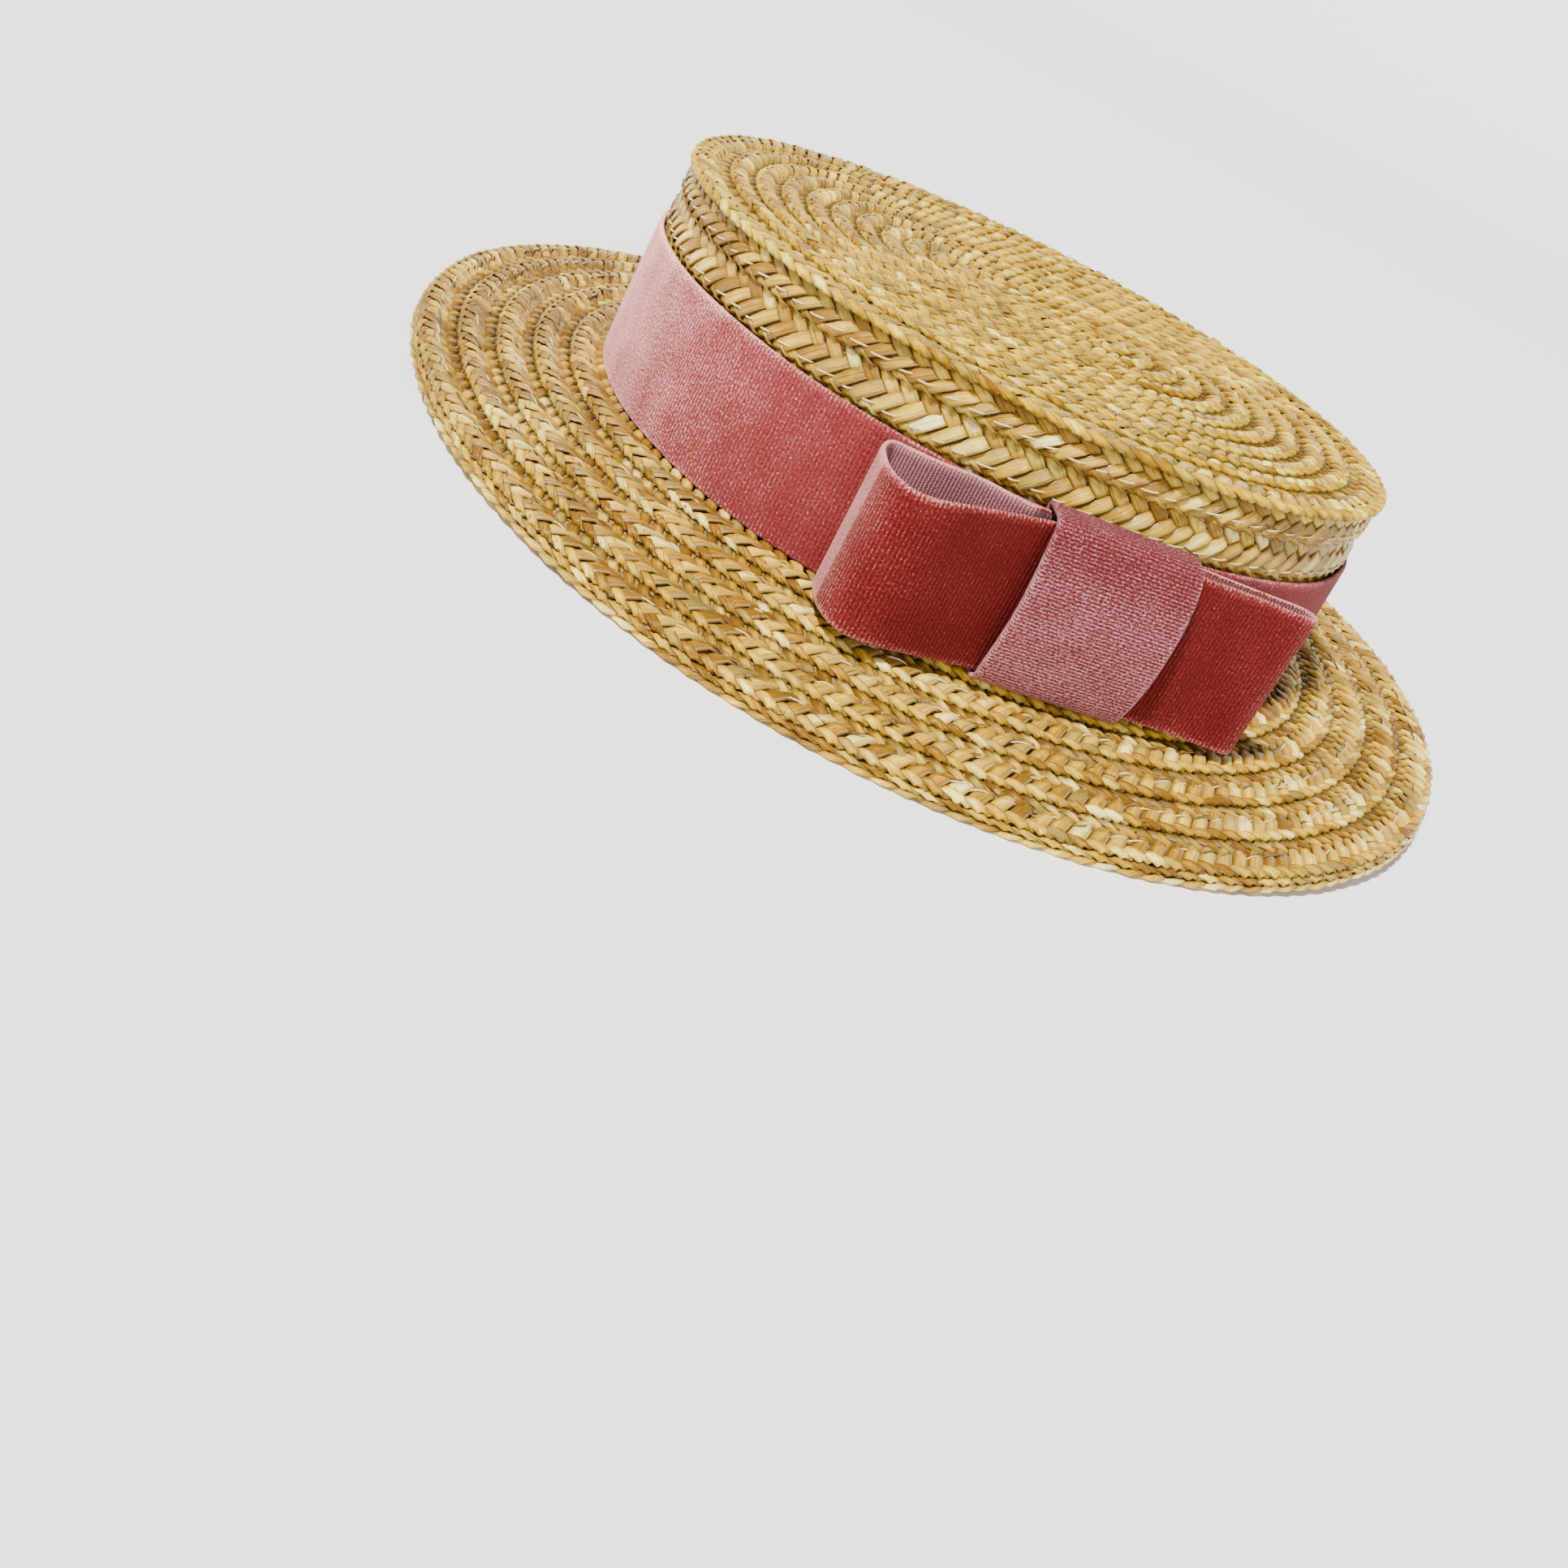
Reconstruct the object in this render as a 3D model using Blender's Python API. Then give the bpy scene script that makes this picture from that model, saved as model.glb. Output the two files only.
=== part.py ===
"""Straw boater hat with a velvet band and a flat bow. Metres, +Z up, resting on its brim at z = 0.

The crown's length lies along X, and the bow sits on the -Y side. Every oval of the hat is the tip's edge oval
grown or shrunk by an offset, so rows of braid keep their width all the way round.
"""

from math import cos, pi, radians, sin

import bmesh
import bpy
from mathutils import Vector

# Clearance between pieces that touch
GAP = 0.0003

# Straw braid
BRAID = 0.0013  # thickness of one layer
BRAID_STEP = 0.0012  # how far the edge of each row stands over the next row
BRAID_OVERLAP = 0.0032  # hidden part of each brim row, under the row before it

# Crown
TIP_HALF_LENGTH = 0.0982
TIP_HALF_WIDTH = 0.08445
TIP_ROWS = 11
TIP_EDGE_ROW = 0.0095  # width of the outermost row of the tip
TIP_EDGE_ROLL = 0.0026  # height of that row's rounded rim over the wall
TIP_MIDDLE = 0.0045  # half width of the first turn of braid
WALL_HEIGHT = 0.0581
WALL_FLARE = 0.0026  # how much further out the wall stands at the brim than at the tip
WALL_ROWS = 6

# Brim
BRIM_ROOT = 0.0094  # height of the seat under the crown
BRIM_WIDTH = 0.0483
BRIM_ROWS = 5
EDGE_HEIGHT = 0.0071  # mean height of the brim's upper edge
EDGE_LIFT_ENDS = 0.0022  # both ends of the length stand higher, both sides lower
EDGE_LIFT_RIGHT = 0.0012
EDGE_LIFT_BACK = 0.0005
EDGE_TWIST = 0.0011
EDGE_STACK = 0.0050  # height of all braids together at the brim's edge
EDGE_BRAID_WIDTH = 0.0094
EDGE_BRAID_PROUD = 0.0012  # how far the lower braid shows beyond the brim

# Velvet ribbon
RIBBON_WIDTH = 0.038
VELVET = 0.0012
BAND_LIFT = 0.0010  # band's lower edge above the brim's seat

# Bow
BOW_ANGLE = radians(-72.2)  # where the bow's middle sits on the oval, from +X
BOW_LIFT = 0.0016  # bow's lower edge above the band's lower edge
LEFT_LOOP_LENGTH = 0.055
LEFT_LOOP_DEPTH = 0.0104
RIGHT_LOOP_LENGTH = 0.049
RIGHT_LOOP_DEPTH = 0.0046
KNOT_WIDTH = 0.0375
KNOT_SLACK = 0.0008  # room between the knot and the ribbon inside it
KNOT_CORNER = 0.0019  # inside radius of its front edges
KNOT_BACK_CORNER = 0.0009
KNOT_BULGE = 0.0024

# Rows of (along, off): shares of a loop's length, from the bow's middle, and of its depth, from its back layer
LEFT_LOOP_FRONT = (
    (0.34, 0.53),
    (0.60, 0.82),
    (0.80, 1.00),
    (0.92, 0.86),
    (0.985, 0.35),
    (1.00, -0.28),
    (0.985, -0.88),
)
RIGHT_LOOP = (
    (0.40, 0.00),
    (0.72, 0.05),
    (0.94, 0.04),
    (1.00, 0.52),
    (0.94, 1.00),
    (0.72, 0.87),
    (0.38, 0.91),
)
# Shares of the left loop's length where its back layer lies against the band, and where it leaves the knot
LEFT_LOOP_ON_BAND = (0.92, 0.76, 0.58)
LEFT_LOOP_AT_KNOT = 0.36
MIDDLE_OFF = 0.33  # share of the left loop's depth that is left between the layers inside the knot

# Facets
AROUND = 64
PER_SPAN = 4  # facets of a loop between two points of its table
KNOT_SECTIONS = 5
CORNER_FACETS = 3
FRONT_FACETS = 7

TOP = BRIM_ROOT + GAP + WALL_HEIGHT
WALL_BASE = BRIM_ROOT + GAP
WALL_SHELL = BRAID + BRAID_STEP


def clear_scene():
    for obj in list(bpy.data.objects):
        bpy.data.objects.remove(obj, do_unlink=True)


def material(name, colour, roughness):
    made = bpy.data.materials.new(name)
    made.use_nodes = True
    shader = made.node_tree.nodes["Principled BSDF"]
    shader.inputs["Base Color"].default_value = (*colour, 1)
    shader.inputs["Roughness"].default_value = roughness
    shader.inputs["Metallic"].default_value = 0
    made.diffuse_color = (*colour, 1)
    return made


def solid_from_rings(name, rings, finish, hat, capped=False):
    """One closed solid. Each ring of points is joined to the next, and the last to the first or both are capped."""
    mesh = bmesh.new()
    rows = [[mesh.verts.new(point) for point in ring] for ring in rings]
    pairs = list(zip(rows, rows[1:]))
    if not capped:
        pairs.append((rows[-1], rows[0]))
    for near, far in pairs:
        count = len(near)
        for i in range(count):
            j = (i + 1) % count
            mesh.faces.new((near[i], near[j], far[j], far[i]))
    if capped:
        mesh.faces.new(rows[0])
        mesh.faces.new(rows[-1])
    bmesh.ops.recalc_face_normals(mesh, faces=mesh.faces)
    data = bpy.data.meshes.new(name)
    mesh.to_mesh(data)
    mesh.free()
    data.materials.append(finish)
    data.shade_smooth()
    data.set_sharp_from_angle(angle=radians(35))
    obj = bpy.data.objects.new(name, data)
    bpy.context.collection.objects.link(obj)
    obj.parent = hat
    return obj


def oval_point(angle, offset, height):
    return Vector(((TIP_HALF_LENGTH + offset) * cos(angle), (TIP_HALF_WIDTH + offset) * sin(angle), height))


def oval_ring(offset, height):
    """A ring round the hat. The height is a number, or a function of the angle."""
    angles = [2 * pi * i / AROUND for i in range(AROUND)]
    return [oval_point(angle, offset, height(angle) if callable(height) else height) for angle in angles]


def steps(start, end, count):
    """The (start, end) pairs of equal rows."""
    size = (end - start) / count
    return [(start + i * size, start + (i + 1) * size) for i in range(count)]


def wall_offset(height):
    """Offset of the edges of the wall's rows at a height."""
    return WALL_FLARE * (TOP - height) / WALL_HEIGHT


def build_crown(finish, hat):
    """Tip and wall: each row rises to its outer or lower edge, then steps in to the next row."""
    profile = []
    middle = TIP_MIDDLE - TIP_HALF_WIDTH
    for inner, outer in steps(middle, -TIP_EDGE_ROW, TIP_ROWS - 1):
        profile += [(inner, TOP - BRAID_STEP), (outer, TOP)]
    rim_round = TIP_EDGE_ROLL / 2
    rim_foot = TOP - TIP_EDGE_ROLL
    profile += [(-TIP_EDGE_ROW, TOP - BRAID_STEP), (-rim_round, TOP), (0, TOP - rim_round), (0, rim_foot)]
    for row, (upper, lower) in enumerate(steps(TOP, WALL_BASE, WALL_ROWS)):
        start = rim_foot if row == 0 else upper
        profile += [(wall_offset(start) - BRAID_STEP, start), (wall_offset(lower), lower)]
    profile += [(WALL_FLARE - WALL_SHELL, WALL_BASE), (-WALL_SHELL, TOP - WALL_SHELL)]
    rings = [oval_ring(offset, height) for offset, height in profile]
    return solid_from_rings("crown", rings, finish, hat, capped=True)


def edge_height(angle):
    """Height of the brim's upper edge."""
    ends = EDGE_LIFT_ENDS * cos(2 * angle) + EDGE_TWIST * sin(2 * angle)
    return EDGE_HEIGHT + ends + EDGE_LIFT_RIGHT * cos(angle) + EDGE_LIFT_BACK * sin(angle)


def brim_height(across, drop):
    """Height round the brim, this far across it from the crown, as a function of the angle."""
    share = max(across, 0) / BRIM_WIDTH

    def height(angle):
        root = BRIM_ROOT + BRAID_STEP
        return root + (edge_height(angle) - root) * share - drop

    return height


def under_brim(across, row_end):
    """Height of the underside of the row that ends at row_end."""
    tilt = BRAID_STEP * (row_end - across) / (BRIM_WIDTH / BRIM_ROWS)
    return brim_height(across, tilt + BRAID)


def build_brim(finish, hat):
    """Rows tilt up to their outer edges, above and below, and each lies on the next."""
    rows = steps(0, BRIM_WIDTH, BRIM_ROWS)
    profile = [(-WALL_SHELL, brim_height(0, BRAID_STEP))]
    for inner, outer in rows:
        profile += [(inner, brim_height(inner, BRAID_STEP)), (outer, brim_height(outer, 0))]
    for inner, outer in reversed(rows):
        end = outer if outer == rows[-1][1] else outer - BRAID_OVERLAP
        profile.append((end, under_brim(end, outer)))
        if inner > 0:
            profile.append((inner - BRAID_OVERLAP, under_brim(inner - BRAID_OVERLAP, outer)))
    profile.append((-WALL_SHELL, brim_height(0, BRAID_STEP + BRAID)))
    rings = [oval_ring(WALL_FLARE + across, height) for across, height in profile]
    return solid_from_rings("brim", rings, finish, hat)


def build_edge_braid(finish, hat):
    """The braid sewn under the brim's edge. Its underside is level where the hat rests and rises at the ends."""
    outer = BRIM_WIDTH + EDGE_BRAID_PROUD
    inner = outer - EDGE_BRAID_WIDTH

    def top(across):
        under = under_brim(min(across, BRIM_WIDTH), BRIM_WIDTH)
        return lambda angle: under(angle) - GAP

    def foot(angle):
        return max(0, edge_height(angle) - EDGE_STACK)

    profile = [(across, top(across)) for across in (inner, BRIM_WIDTH, outer)] + [(outer, foot), (inner, foot)]
    rings = [oval_ring(WALL_FLARE + across, height) for across, height in profile]
    return solid_from_rings("brim_edge_braid", rings, finish, hat)


BAND_FOOT = BRIM_ROOT + BAND_LIFT
BAND_TOP = BAND_FOOT + RIBBON_WIDTH


def band_offset(height):
    """Offset of the band's outer face."""
    return wall_offset(height) + GAP + VELVET


def build_band(finish, hat):
    profile = [
        (band_offset(BAND_FOOT) - VELVET, BAND_FOOT),
        (band_offset(BAND_FOOT), BAND_FOOT),
        (band_offset(BAND_TOP), BAND_TOP),
        (band_offset(BAND_TOP) - VELVET, BAND_TOP),
    ]
    return solid_from_rings("hatband", [oval_ring(*point) for point in profile], finish, hat)


BOW_FOOT = BAND_FOOT + BOW_LIFT
BOW_MIDDLE = BOW_FOOT + RIBBON_WIDTH / 2
# Unit vectors along the bow and out of the crown, at the bow's middle
BOW_HALF_LENGTH = TIP_HALF_LENGTH + band_offset(BOW_MIDDLE)
BOW_HALF_WIDTH = TIP_HALF_WIDTH + band_offset(BOW_MIDDLE)
BOW_ALONG = Vector((-BOW_HALF_LENGTH * sin(BOW_ANGLE), BOW_HALF_WIDTH * cos(BOW_ANGLE), 0)).normalized()
BOW_OUT = Vector((BOW_ALONG.y, -BOW_ALONG.x, 0))
# The loops' back layer lies on the back of the knot, which lies on the band
BACK_OFF = GAP + VELVET + GAP + VELVET / 2


def bow_point(along, off, height):
    """A point of the bow, along it from its middle and off the band's face there. It leans as the wall does."""
    return oval_point(BOW_ANGLE, band_offset(height), height) + BOW_ALONG * along + BOW_OUT * off


def band_off(along):
    """How far off the bow's straight line the curved face of the band lies, this far along. It is negative."""
    middle = oval_point(BOW_ANGLE, band_offset(BOW_MIDDLE), 0)
    low, high = BOW_ANGLE - pi / 2, BOW_ANGLE + pi / 2
    for _ in range(40):
        angle = (low + high) / 2
        ahead = oval_point(angle, band_offset(BOW_MIDDLE), 0) - middle
        low, high = (low, angle) if ahead.dot(BOW_ALONG) > along else (angle, high)
    return ahead.dot(BOW_OUT)


def loop_route():
    """(along, off) of the ribbon's middle line: once round both loops, from the left loop's back layer."""
    back = BACK_OFF
    on_band = GAP + VELVET / 2 + GAP
    hugging = [-LEFT_LOOP_LENGTH * share for share in reversed(LEFT_LOOP_ON_BAND)]
    left_back = [(-LEFT_LOOP_LENGTH * LEFT_LOOP_AT_KNOT, back)]
    left_back += [(along, band_off(along) + on_band) for along in hugging]
    left_front = [(-LEFT_LOOP_LENGTH * along, back + LEFT_LOOP_DEPTH * off) for along, off in LEFT_LOOP_FRONT]
    middle = (0, back + LEFT_LOOP_DEPTH * MIDDLE_OFF)
    right = [(RIGHT_LOOP_LENGTH * along, back + RIGHT_LOOP_DEPTH * off) for along, off in RIGHT_LOOP]
    return left_back + left_front[::-1] + [middle] + right[::-1] + [(0, back)]


def smooth_closed(points):
    """(point, unit normal) pairs along a smooth closed curve through the points."""
    found = []
    count = len(points)
    for i in range(count):
        p0, p1, p2, p3 = (Vector(points[(i + k) % count]) for k in (-1, 0, 1, 2))
        ahead = (p2 - p0) / 2
        bend = (2 * p0 - 5 * p1 + 4 * p2 - p3) / 2
        twist = (3 * p1 - p0 - 3 * p2 + p3) / 2
        for step in range(PER_SPAN):
            t = step / PER_SPAN
            place = p1 + ahead * t + bend * t**2 + twist * t**3
            run = ahead + 2 * bend * t + 3 * twist * t**2
            found.append((place, Vector((run.y, -run.x)).normalized()))
    return found


def build_loops(finish, hat):
    """The ribbon stands on edge and follows the route, half its thickness to each side."""
    line = smooth_closed(loop_route())
    bow_top = BOW_FOOT + RIBBON_WIDTH
    rings = []
    for side, height in ((-1, BOW_FOOT), (1, BOW_FOOT), (1, bow_top), (-1, bow_top)):
        places = [place + normal * side * VELVET / 2 for place, normal in line]
        rings.append([bow_point(place.x, place.y, height) for place in places])
    return solid_from_rings("bow_loops", rings, finish, hat)


def loops_front(along):
    """How far off the band the outer face of the loops' front layer is, this far along, inside the knot."""
    fronts = [place for place, _ in smooth_closed(loop_route()) if place.y > BACK_OFF + VELVET]
    return min(fronts, key=lambda place: abs(place.x - along)).y + VELVET / 2


def knot_front(along):
    """How far off the band the knot's front is, inside: straight from side to side, clear of the loops."""
    half = KNOT_WIDTH / 2
    left, right = loops_front(-half), loops_front(half)

    def line(place):
        return left + (right - left) * (place + half) / KNOT_WIDTH

    tests = [half * (i / 4 - 1) for i in range(9)]
    return line(along) + max(loops_front(place) - line(place) for place in tests) + KNOT_SLACK


def knot_section(along, inset):
    """(off, height) round the knot. The inset is how far inside the knot's outer face it runs."""
    back = GAP + inset
    front = knot_front(along) + VELVET - inset
    reach = RIBBON_WIDTH / 2 + KNOT_SLACK + VELVET - inset
    corners = (
        (front, -reach, KNOT_CORNER, -90),
        (front, reach, KNOT_CORNER, 0),
        (back, reach, KNOT_BACK_CORNER, 90),
        (back, -reach, KNOT_BACK_CORNER, 180),
    )
    points = []
    for off, height, radius, start in corners:
        radius += VELVET - inset
        middle_off = off + (radius if off == back else -radius)
        middle_height = height + (radius if height < 0 else -radius)
        turns = [radians(start + 90 * i / CORNER_FACETS) for i in range(CORNER_FACETS + 1)]
        points += [(middle_off + radius * cos(turn), middle_height + radius * sin(turn)) for turn in turns]
        if start == -90:
            flat = reach - radius
            points += [(front, flat * (2 * i / FRONT_FACETS - 1)) for i in range(1, FRONT_FACETS)]

    def swell(off, height):
        """How far a point bulges forward: most at the front, half way up, and nothing in the back half."""
        ahead = (off - back) / (front - back)
        return KNOT_BULGE * ahead * (1 - (height / reach) ** 2) if ahead > 0.5 else 0

    return [(off + swell(off, height), height) for off, height in points]


def build_knot(finish, hat):
    """A sleeve of ribbon round the middle of the loops, flat against the band and bulging in front."""
    places = [KNOT_WIDTH * (i / (KNOT_SECTIONS - 1) - 0.5) for i in range(KNOT_SECTIONS)]
    sections = [(along, 0) for along in places] + [(along, VELVET) for along in reversed(places)]
    rings = []
    for along, inset in sections:
        section = knot_section(along, inset)
        rings.append([bow_point(along, off, BOW_MIDDLE + height) for off, height in section])
    return solid_from_rings("bow_knot", rings, finish, hat)


def main():
    clear_scene()
    hat = bpy.data.objects.new("hat", None)
    bpy.context.collection.objects.link(hat)
    crown_straw = material("crown_straw", (0.60, 0.44, 0.22), 0.55)
    brim_straw = material("brim_straw", (0.56, 0.38, 0.17), 0.55)
    edge_straw = material("edge_straw", (0.58, 0.40, 0.18), 0.55)
    band_velvet = material("band_velvet", (0.66, 0.28, 0.32), 0.9)
    loop_velvet = material("loop_velvet", (0.55, 0.12, 0.16), 0.9)
    knot_velvet = material("knot_velvet", (0.64, 0.34, 0.38), 0.9)
    build_crown(crown_straw, hat)
    build_brim(brim_straw, hat)
    build_edge_braid(edge_straw, hat)
    build_band(band_velvet, hat)
    build_loops(loop_velvet, hat)
    build_knot(knot_velvet, hat)


main()
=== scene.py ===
"""Looks of the straw boater: plaited straw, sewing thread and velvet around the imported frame, in metres."""

from math import cos, hypot, pi, radians, sin

import bpy
import numpy as np
from mathutils import Matrix, Vector


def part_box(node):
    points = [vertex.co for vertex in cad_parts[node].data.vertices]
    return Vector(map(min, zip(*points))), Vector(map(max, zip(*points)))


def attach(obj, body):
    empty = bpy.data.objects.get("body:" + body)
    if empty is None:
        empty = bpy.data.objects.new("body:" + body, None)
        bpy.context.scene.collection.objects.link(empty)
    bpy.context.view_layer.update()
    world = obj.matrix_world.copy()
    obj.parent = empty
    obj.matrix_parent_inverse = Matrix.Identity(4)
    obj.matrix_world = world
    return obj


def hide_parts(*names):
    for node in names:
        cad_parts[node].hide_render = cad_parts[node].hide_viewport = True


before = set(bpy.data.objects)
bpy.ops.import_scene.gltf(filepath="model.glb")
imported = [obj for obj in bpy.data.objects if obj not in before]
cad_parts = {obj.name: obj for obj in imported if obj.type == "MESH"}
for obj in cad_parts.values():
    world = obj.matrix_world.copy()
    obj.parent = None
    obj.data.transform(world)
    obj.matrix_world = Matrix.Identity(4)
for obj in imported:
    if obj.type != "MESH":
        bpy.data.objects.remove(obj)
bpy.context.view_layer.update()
MM = 0.001

# Sizes of the hat, as in the frame's source
GAP = 0.3 * MM
BRAID = 1.3 * MM  # thickness of one layer of braid
BRAID_STEP = 1.2 * MM  # how far each row's edge stands over the next row
BRAID_OVERLAP = 3.2 * MM
TIP_ROWS = 11
TIP_EDGE_ROW = 9.5 * MM
TIP_EDGE_ROLL = 2.6 * MM
TIP_MIDDLE = 4.5 * MM
WALL_FLARE = 2.6 * MM
WALL_ROWS = 6
BRIM_ROWS = 5
EDGE_LIFT_ENDS = 2.2 * MM
EDGE_LIFT_RIGHT = 1.2 * MM
EDGE_LIFT_BACK = 0.5 * MM
EDGE_TWIST = 1.1 * MM
EDGE_HEIGHT = 7.1 * MM
EDGE_STACK = 5.0 * MM
EDGE_BRAID_WIDTH = 9.4 * MM
EDGE_BRAID_PROUD = 1.2 * MM
RIBBON_WIDTH = 38 * MM
BOW_ANGLE = radians(-72.2)
VELVET = 1.2 * MM

crown_low, crown_high = (Vector(corner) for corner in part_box("crown"))
band_low = Vector(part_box("hatband")[0])
edge_high = Vector(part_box("brim_edge_braid")[1])
loops_low = Vector(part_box("bow_loops")[0])
TIP_HALF_LENGTH = crown_high.x - WALL_FLARE
TIP_HALF_WIDTH = crown_high.y - WALL_FLARE
TOP = crown_high.z
WALL_BASE = crown_low.z
BRIM_ROOT = WALL_BASE - GAP
BRIM_WIDTH = edge_high.x - EDGE_BRAID_PROUD - crown_high.x
BAND_FOOT = band_low.z
BOW_FOOT = loops_low.z

SHELL = BRAID + BRAID_STEP  # thickness of the stepped wall and brim


def wall_offset(height):
    """How far the wall stands out past the tip's outline at this height."""
    return WALL_FLARE * (TOP - height) / (TOP - WALL_BASE)


def edge_height(angle):
    """Height of the brim's edge: it rises at both ends, and twists a little."""
    ends = EDGE_LIFT_ENDS * np.cos(2 * angle) + EDGE_TWIST * np.sin(2 * angle)
    return EDGE_HEIGHT + ends + EDGE_LIFT_RIGHT * np.cos(angle) + EDGE_LIFT_BACK * np.sin(angle)


def brim_line(angle, across):
    """Height of the rows' upper edges this far across the brim."""
    root = BRIM_ROOT + BRAID_STEP
    return root + (edge_height(angle) - root) * np.clip(across, 0, None) / BRIM_WIDTH


def oval(angle, offset, height):
    """Points on the hat's oval, grown by an offset, as an array with x, y and z last."""
    x = (TIP_HALF_LENGTH + offset) * np.cos(angle)
    y = (TIP_HALF_WIDTH + offset) * np.sin(angle)
    return np.stack(np.broadcast_arrays(x, y, height), axis=-1)


# Four ways to place a row: across and up are measured in the row's own cross-section
def on_tip(angle, across, up):
    return oval(angle, across, TOP + up)


def on_wall(angle, across, up):
    """across runs down the wall from the tip, and up points out of it."""
    return oval(angle, wall_offset(TOP - across) + up, TOP - across)


def on_brim(angle, across, up):
    return oval(angle, WALL_FLARE + across, brim_line(angle, across) + up)


def on_edge_braid(angle, across, up):
    """up is measured from the lower braid's level underside, or from the floor where the hat rests."""
    foot = np.clip(edge_height(angle) - EDGE_STACK, 0, None)
    room = (edge_height(angle) - BRAID - GAP - foot) / (EDGE_STACK - BRAID - GAP)
    return oval(angle, WALL_FLARE + across, np.maximum(foot + up * room, 0))


def oval_run(offset):
    """(param angles, the way to each) once round the oval with this offset, in fine steps."""
    fine = np.linspace(0, 2 * pi, 2881)
    steps = np.linalg.norm(np.diff(oval(fine, offset, 0), axis=0), axis=1)
    return fine, np.concatenate([[0], np.cumsum(steps)])


def oval_length(offset):
    return oval_run(offset)[1][-1]


def arc_angles(offset, count):
    """Param angles that divide the oval with this offset into equal lengths, with one more at the end."""
    fine, run = oval_run(offset)
    return np.interp(np.linspace(0, run[-1], count + 1), run, fine)


def angle_at(angles, s):
    """The param angle at s along a row that has one of these angles at each whole s."""
    whole = np.floor(s)
    first = np.mod(whole, len(angles) - 1).astype(int)
    return angles[first] + (angles[first + 1] - angles[first]) * (s - whole)


def mesh_object(name, points, quads, finish, attributes=(), body="root"):
    """A smooth mesh from arrays of points and quads. Each attribute is (name, kind, values per point)."""
    data = bpy.data.meshes.new(name)
    data.vertices.add(len(points))
    data.vertices.foreach_set("co", np.ascontiguousarray(points, np.float32).ravel())
    data.loops.add(quads.size)
    data.loops.foreach_set("vertex_index", np.ascontiguousarray(quads, np.int32).ravel())
    data.polygons.add(len(quads))
    data.polygons.foreach_set("loop_start", np.arange(0, quads.size, 4, dtype=np.int32))
    data.polygons.foreach_set("use_smooth", np.ones(len(quads), bool))
    for label, kind, values in attributes:
        layer = data.attributes.new(label, kind, "POINT")
        field = "vector" if kind == "FLOAT_VECTOR" else "color"
        layer.data.foreach_set(field, np.ascontiguousarray(values, np.float32).ravel())
    data.update(calc_edges=True)
    data.materials.append(finish)
    obj = bpy.data.objects.new(name, data)
    bpy.context.collection.objects.link(obj)
    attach(obj, body)
    return obj


def grid_quads(rows, columns, closed=False):
    """Quads of a grid of rows by columns points. A closed one joins its last column to its first."""
    index = np.arange(rows * columns).reshape(rows, columns)
    across = np.concatenate([index, index[:, :1]], axis=1) if closed else index
    corners = [across[:-1, :-1], across[:-1, 1:], across[1:, 1:], across[1:, :-1]]
    return np.stack(corners, axis=-1).reshape(-1, 4)


def closed_quads(rows, columns):
    """Quads of a grid that is closed both ways."""
    index = np.arange(rows * columns).reshape(rows, columns)
    right, down = np.roll(index, -1, axis=1), np.roll(index, -1, axis=0)
    return np.stack([index, right, np.roll(right, -1, axis=0), down], axis=-1).reshape(-1, 4)


def per_point(shape, *parts):
    """One row of values for each point of a grid with this shape, from parts that fit it."""
    return np.stack([np.broadcast_to(part, shape) for part in parts], axis=-1).reshape(-1, len(parts))


def gathered_mesh(gathered, quads):
    """One mesh of all gathered points, each with its straw's "tone", whose fourth value is painted shade, and
    its place on that straw, "lay".
    """
    attributes = (
        ("tone", "FLOAT_COLOR", np.concatenate(gathered.tones)),
        ("lay", "FLOAT_VECTOR", np.concatenate(gathered.lays)),
    )
    return mesh_object(gathered.name, np.concatenate(gathered.points), quads, gathered.finish, attributes)


def ribbon_mesh(name, points, weave, finish):
    """A ribbon that is closed both ways, from a grid of points, each with its "weave"."""
    attributes = [("weave", "FLOAT_VECTOR", weave.reshape(-1, 3))]
    return mesh_object(name, points.reshape(-1, 3), closed_quads(*points.shape[:2]), finish, attributes)


# Plaited straw. A row of braid is a herringbone of blocks: each straw passes over two others, then under
# them. s runs along the row, t across it from its hidden start, and h stands off its surface. A block's
# grid runs along its straw, u, and across it, v. a and b are places on the two diagonals, the directions of
# the straws, all in straw widths. A template gives the grid's lines along the straw and those across it,
# each as its place and its height in millimetres.
LOW_ARCH = ((-1.3, -0.8), (-1.02, -0.22), (-0.7, 0.2), (0, 0.3), (0.7, 0.2), (1.02, -0.22), (1.3, -0.8))
HIGH_ARCH = ((-1.25, -0.9), (-0.98, -0.3), (-0.55, 0.2), (0, 0.42), (0.55, 0.2), (0.98, -0.3), (1.25, -0.9))
FLAT_SIDES = ((-0.5, -0.7), (-0.46, -0.26), (-0.3, -0.12), (0.28, 0.04), (0.45, 0.2), (0.5, -0.3))
ROUND_SIDES = ((-0.5, -0.7), (-0.4, -0.2), (-0.17, 0.06), (0.14, 0.12), (0.38, 0.0), (0.5, -0.55))
FINE = (LOW_ARCH, FLAT_SIDES)
PUFFY = (HIGH_ARCH, ROUND_SIDES)
PLAIN = (((-1.2, -0.5), (-0.6, 0.2), (0.6, 0.2), (1.2, -0.5)), ((-0.5, -0.3), (0, 0.1), (0.5, -0.3)))
RELIEF = 0.3 * MM  # how far the straws stand off their row's surface
UNDER = 0.5 * MM  # how far a row runs under the edge before it
CREASE_SHADE_REACH = 1.7 * MM  # how far the painted shade beside that edge reaches across a wall row
# how far that painted shade takes to fade out
CREASE_SHADE_FADE = 0.9 * MM
FINE_TAPER, PUFFY_TAPER, INNER_TAPER = 0.15, 0.4, 0.1  # how much a straw narrows at its ends


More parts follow.
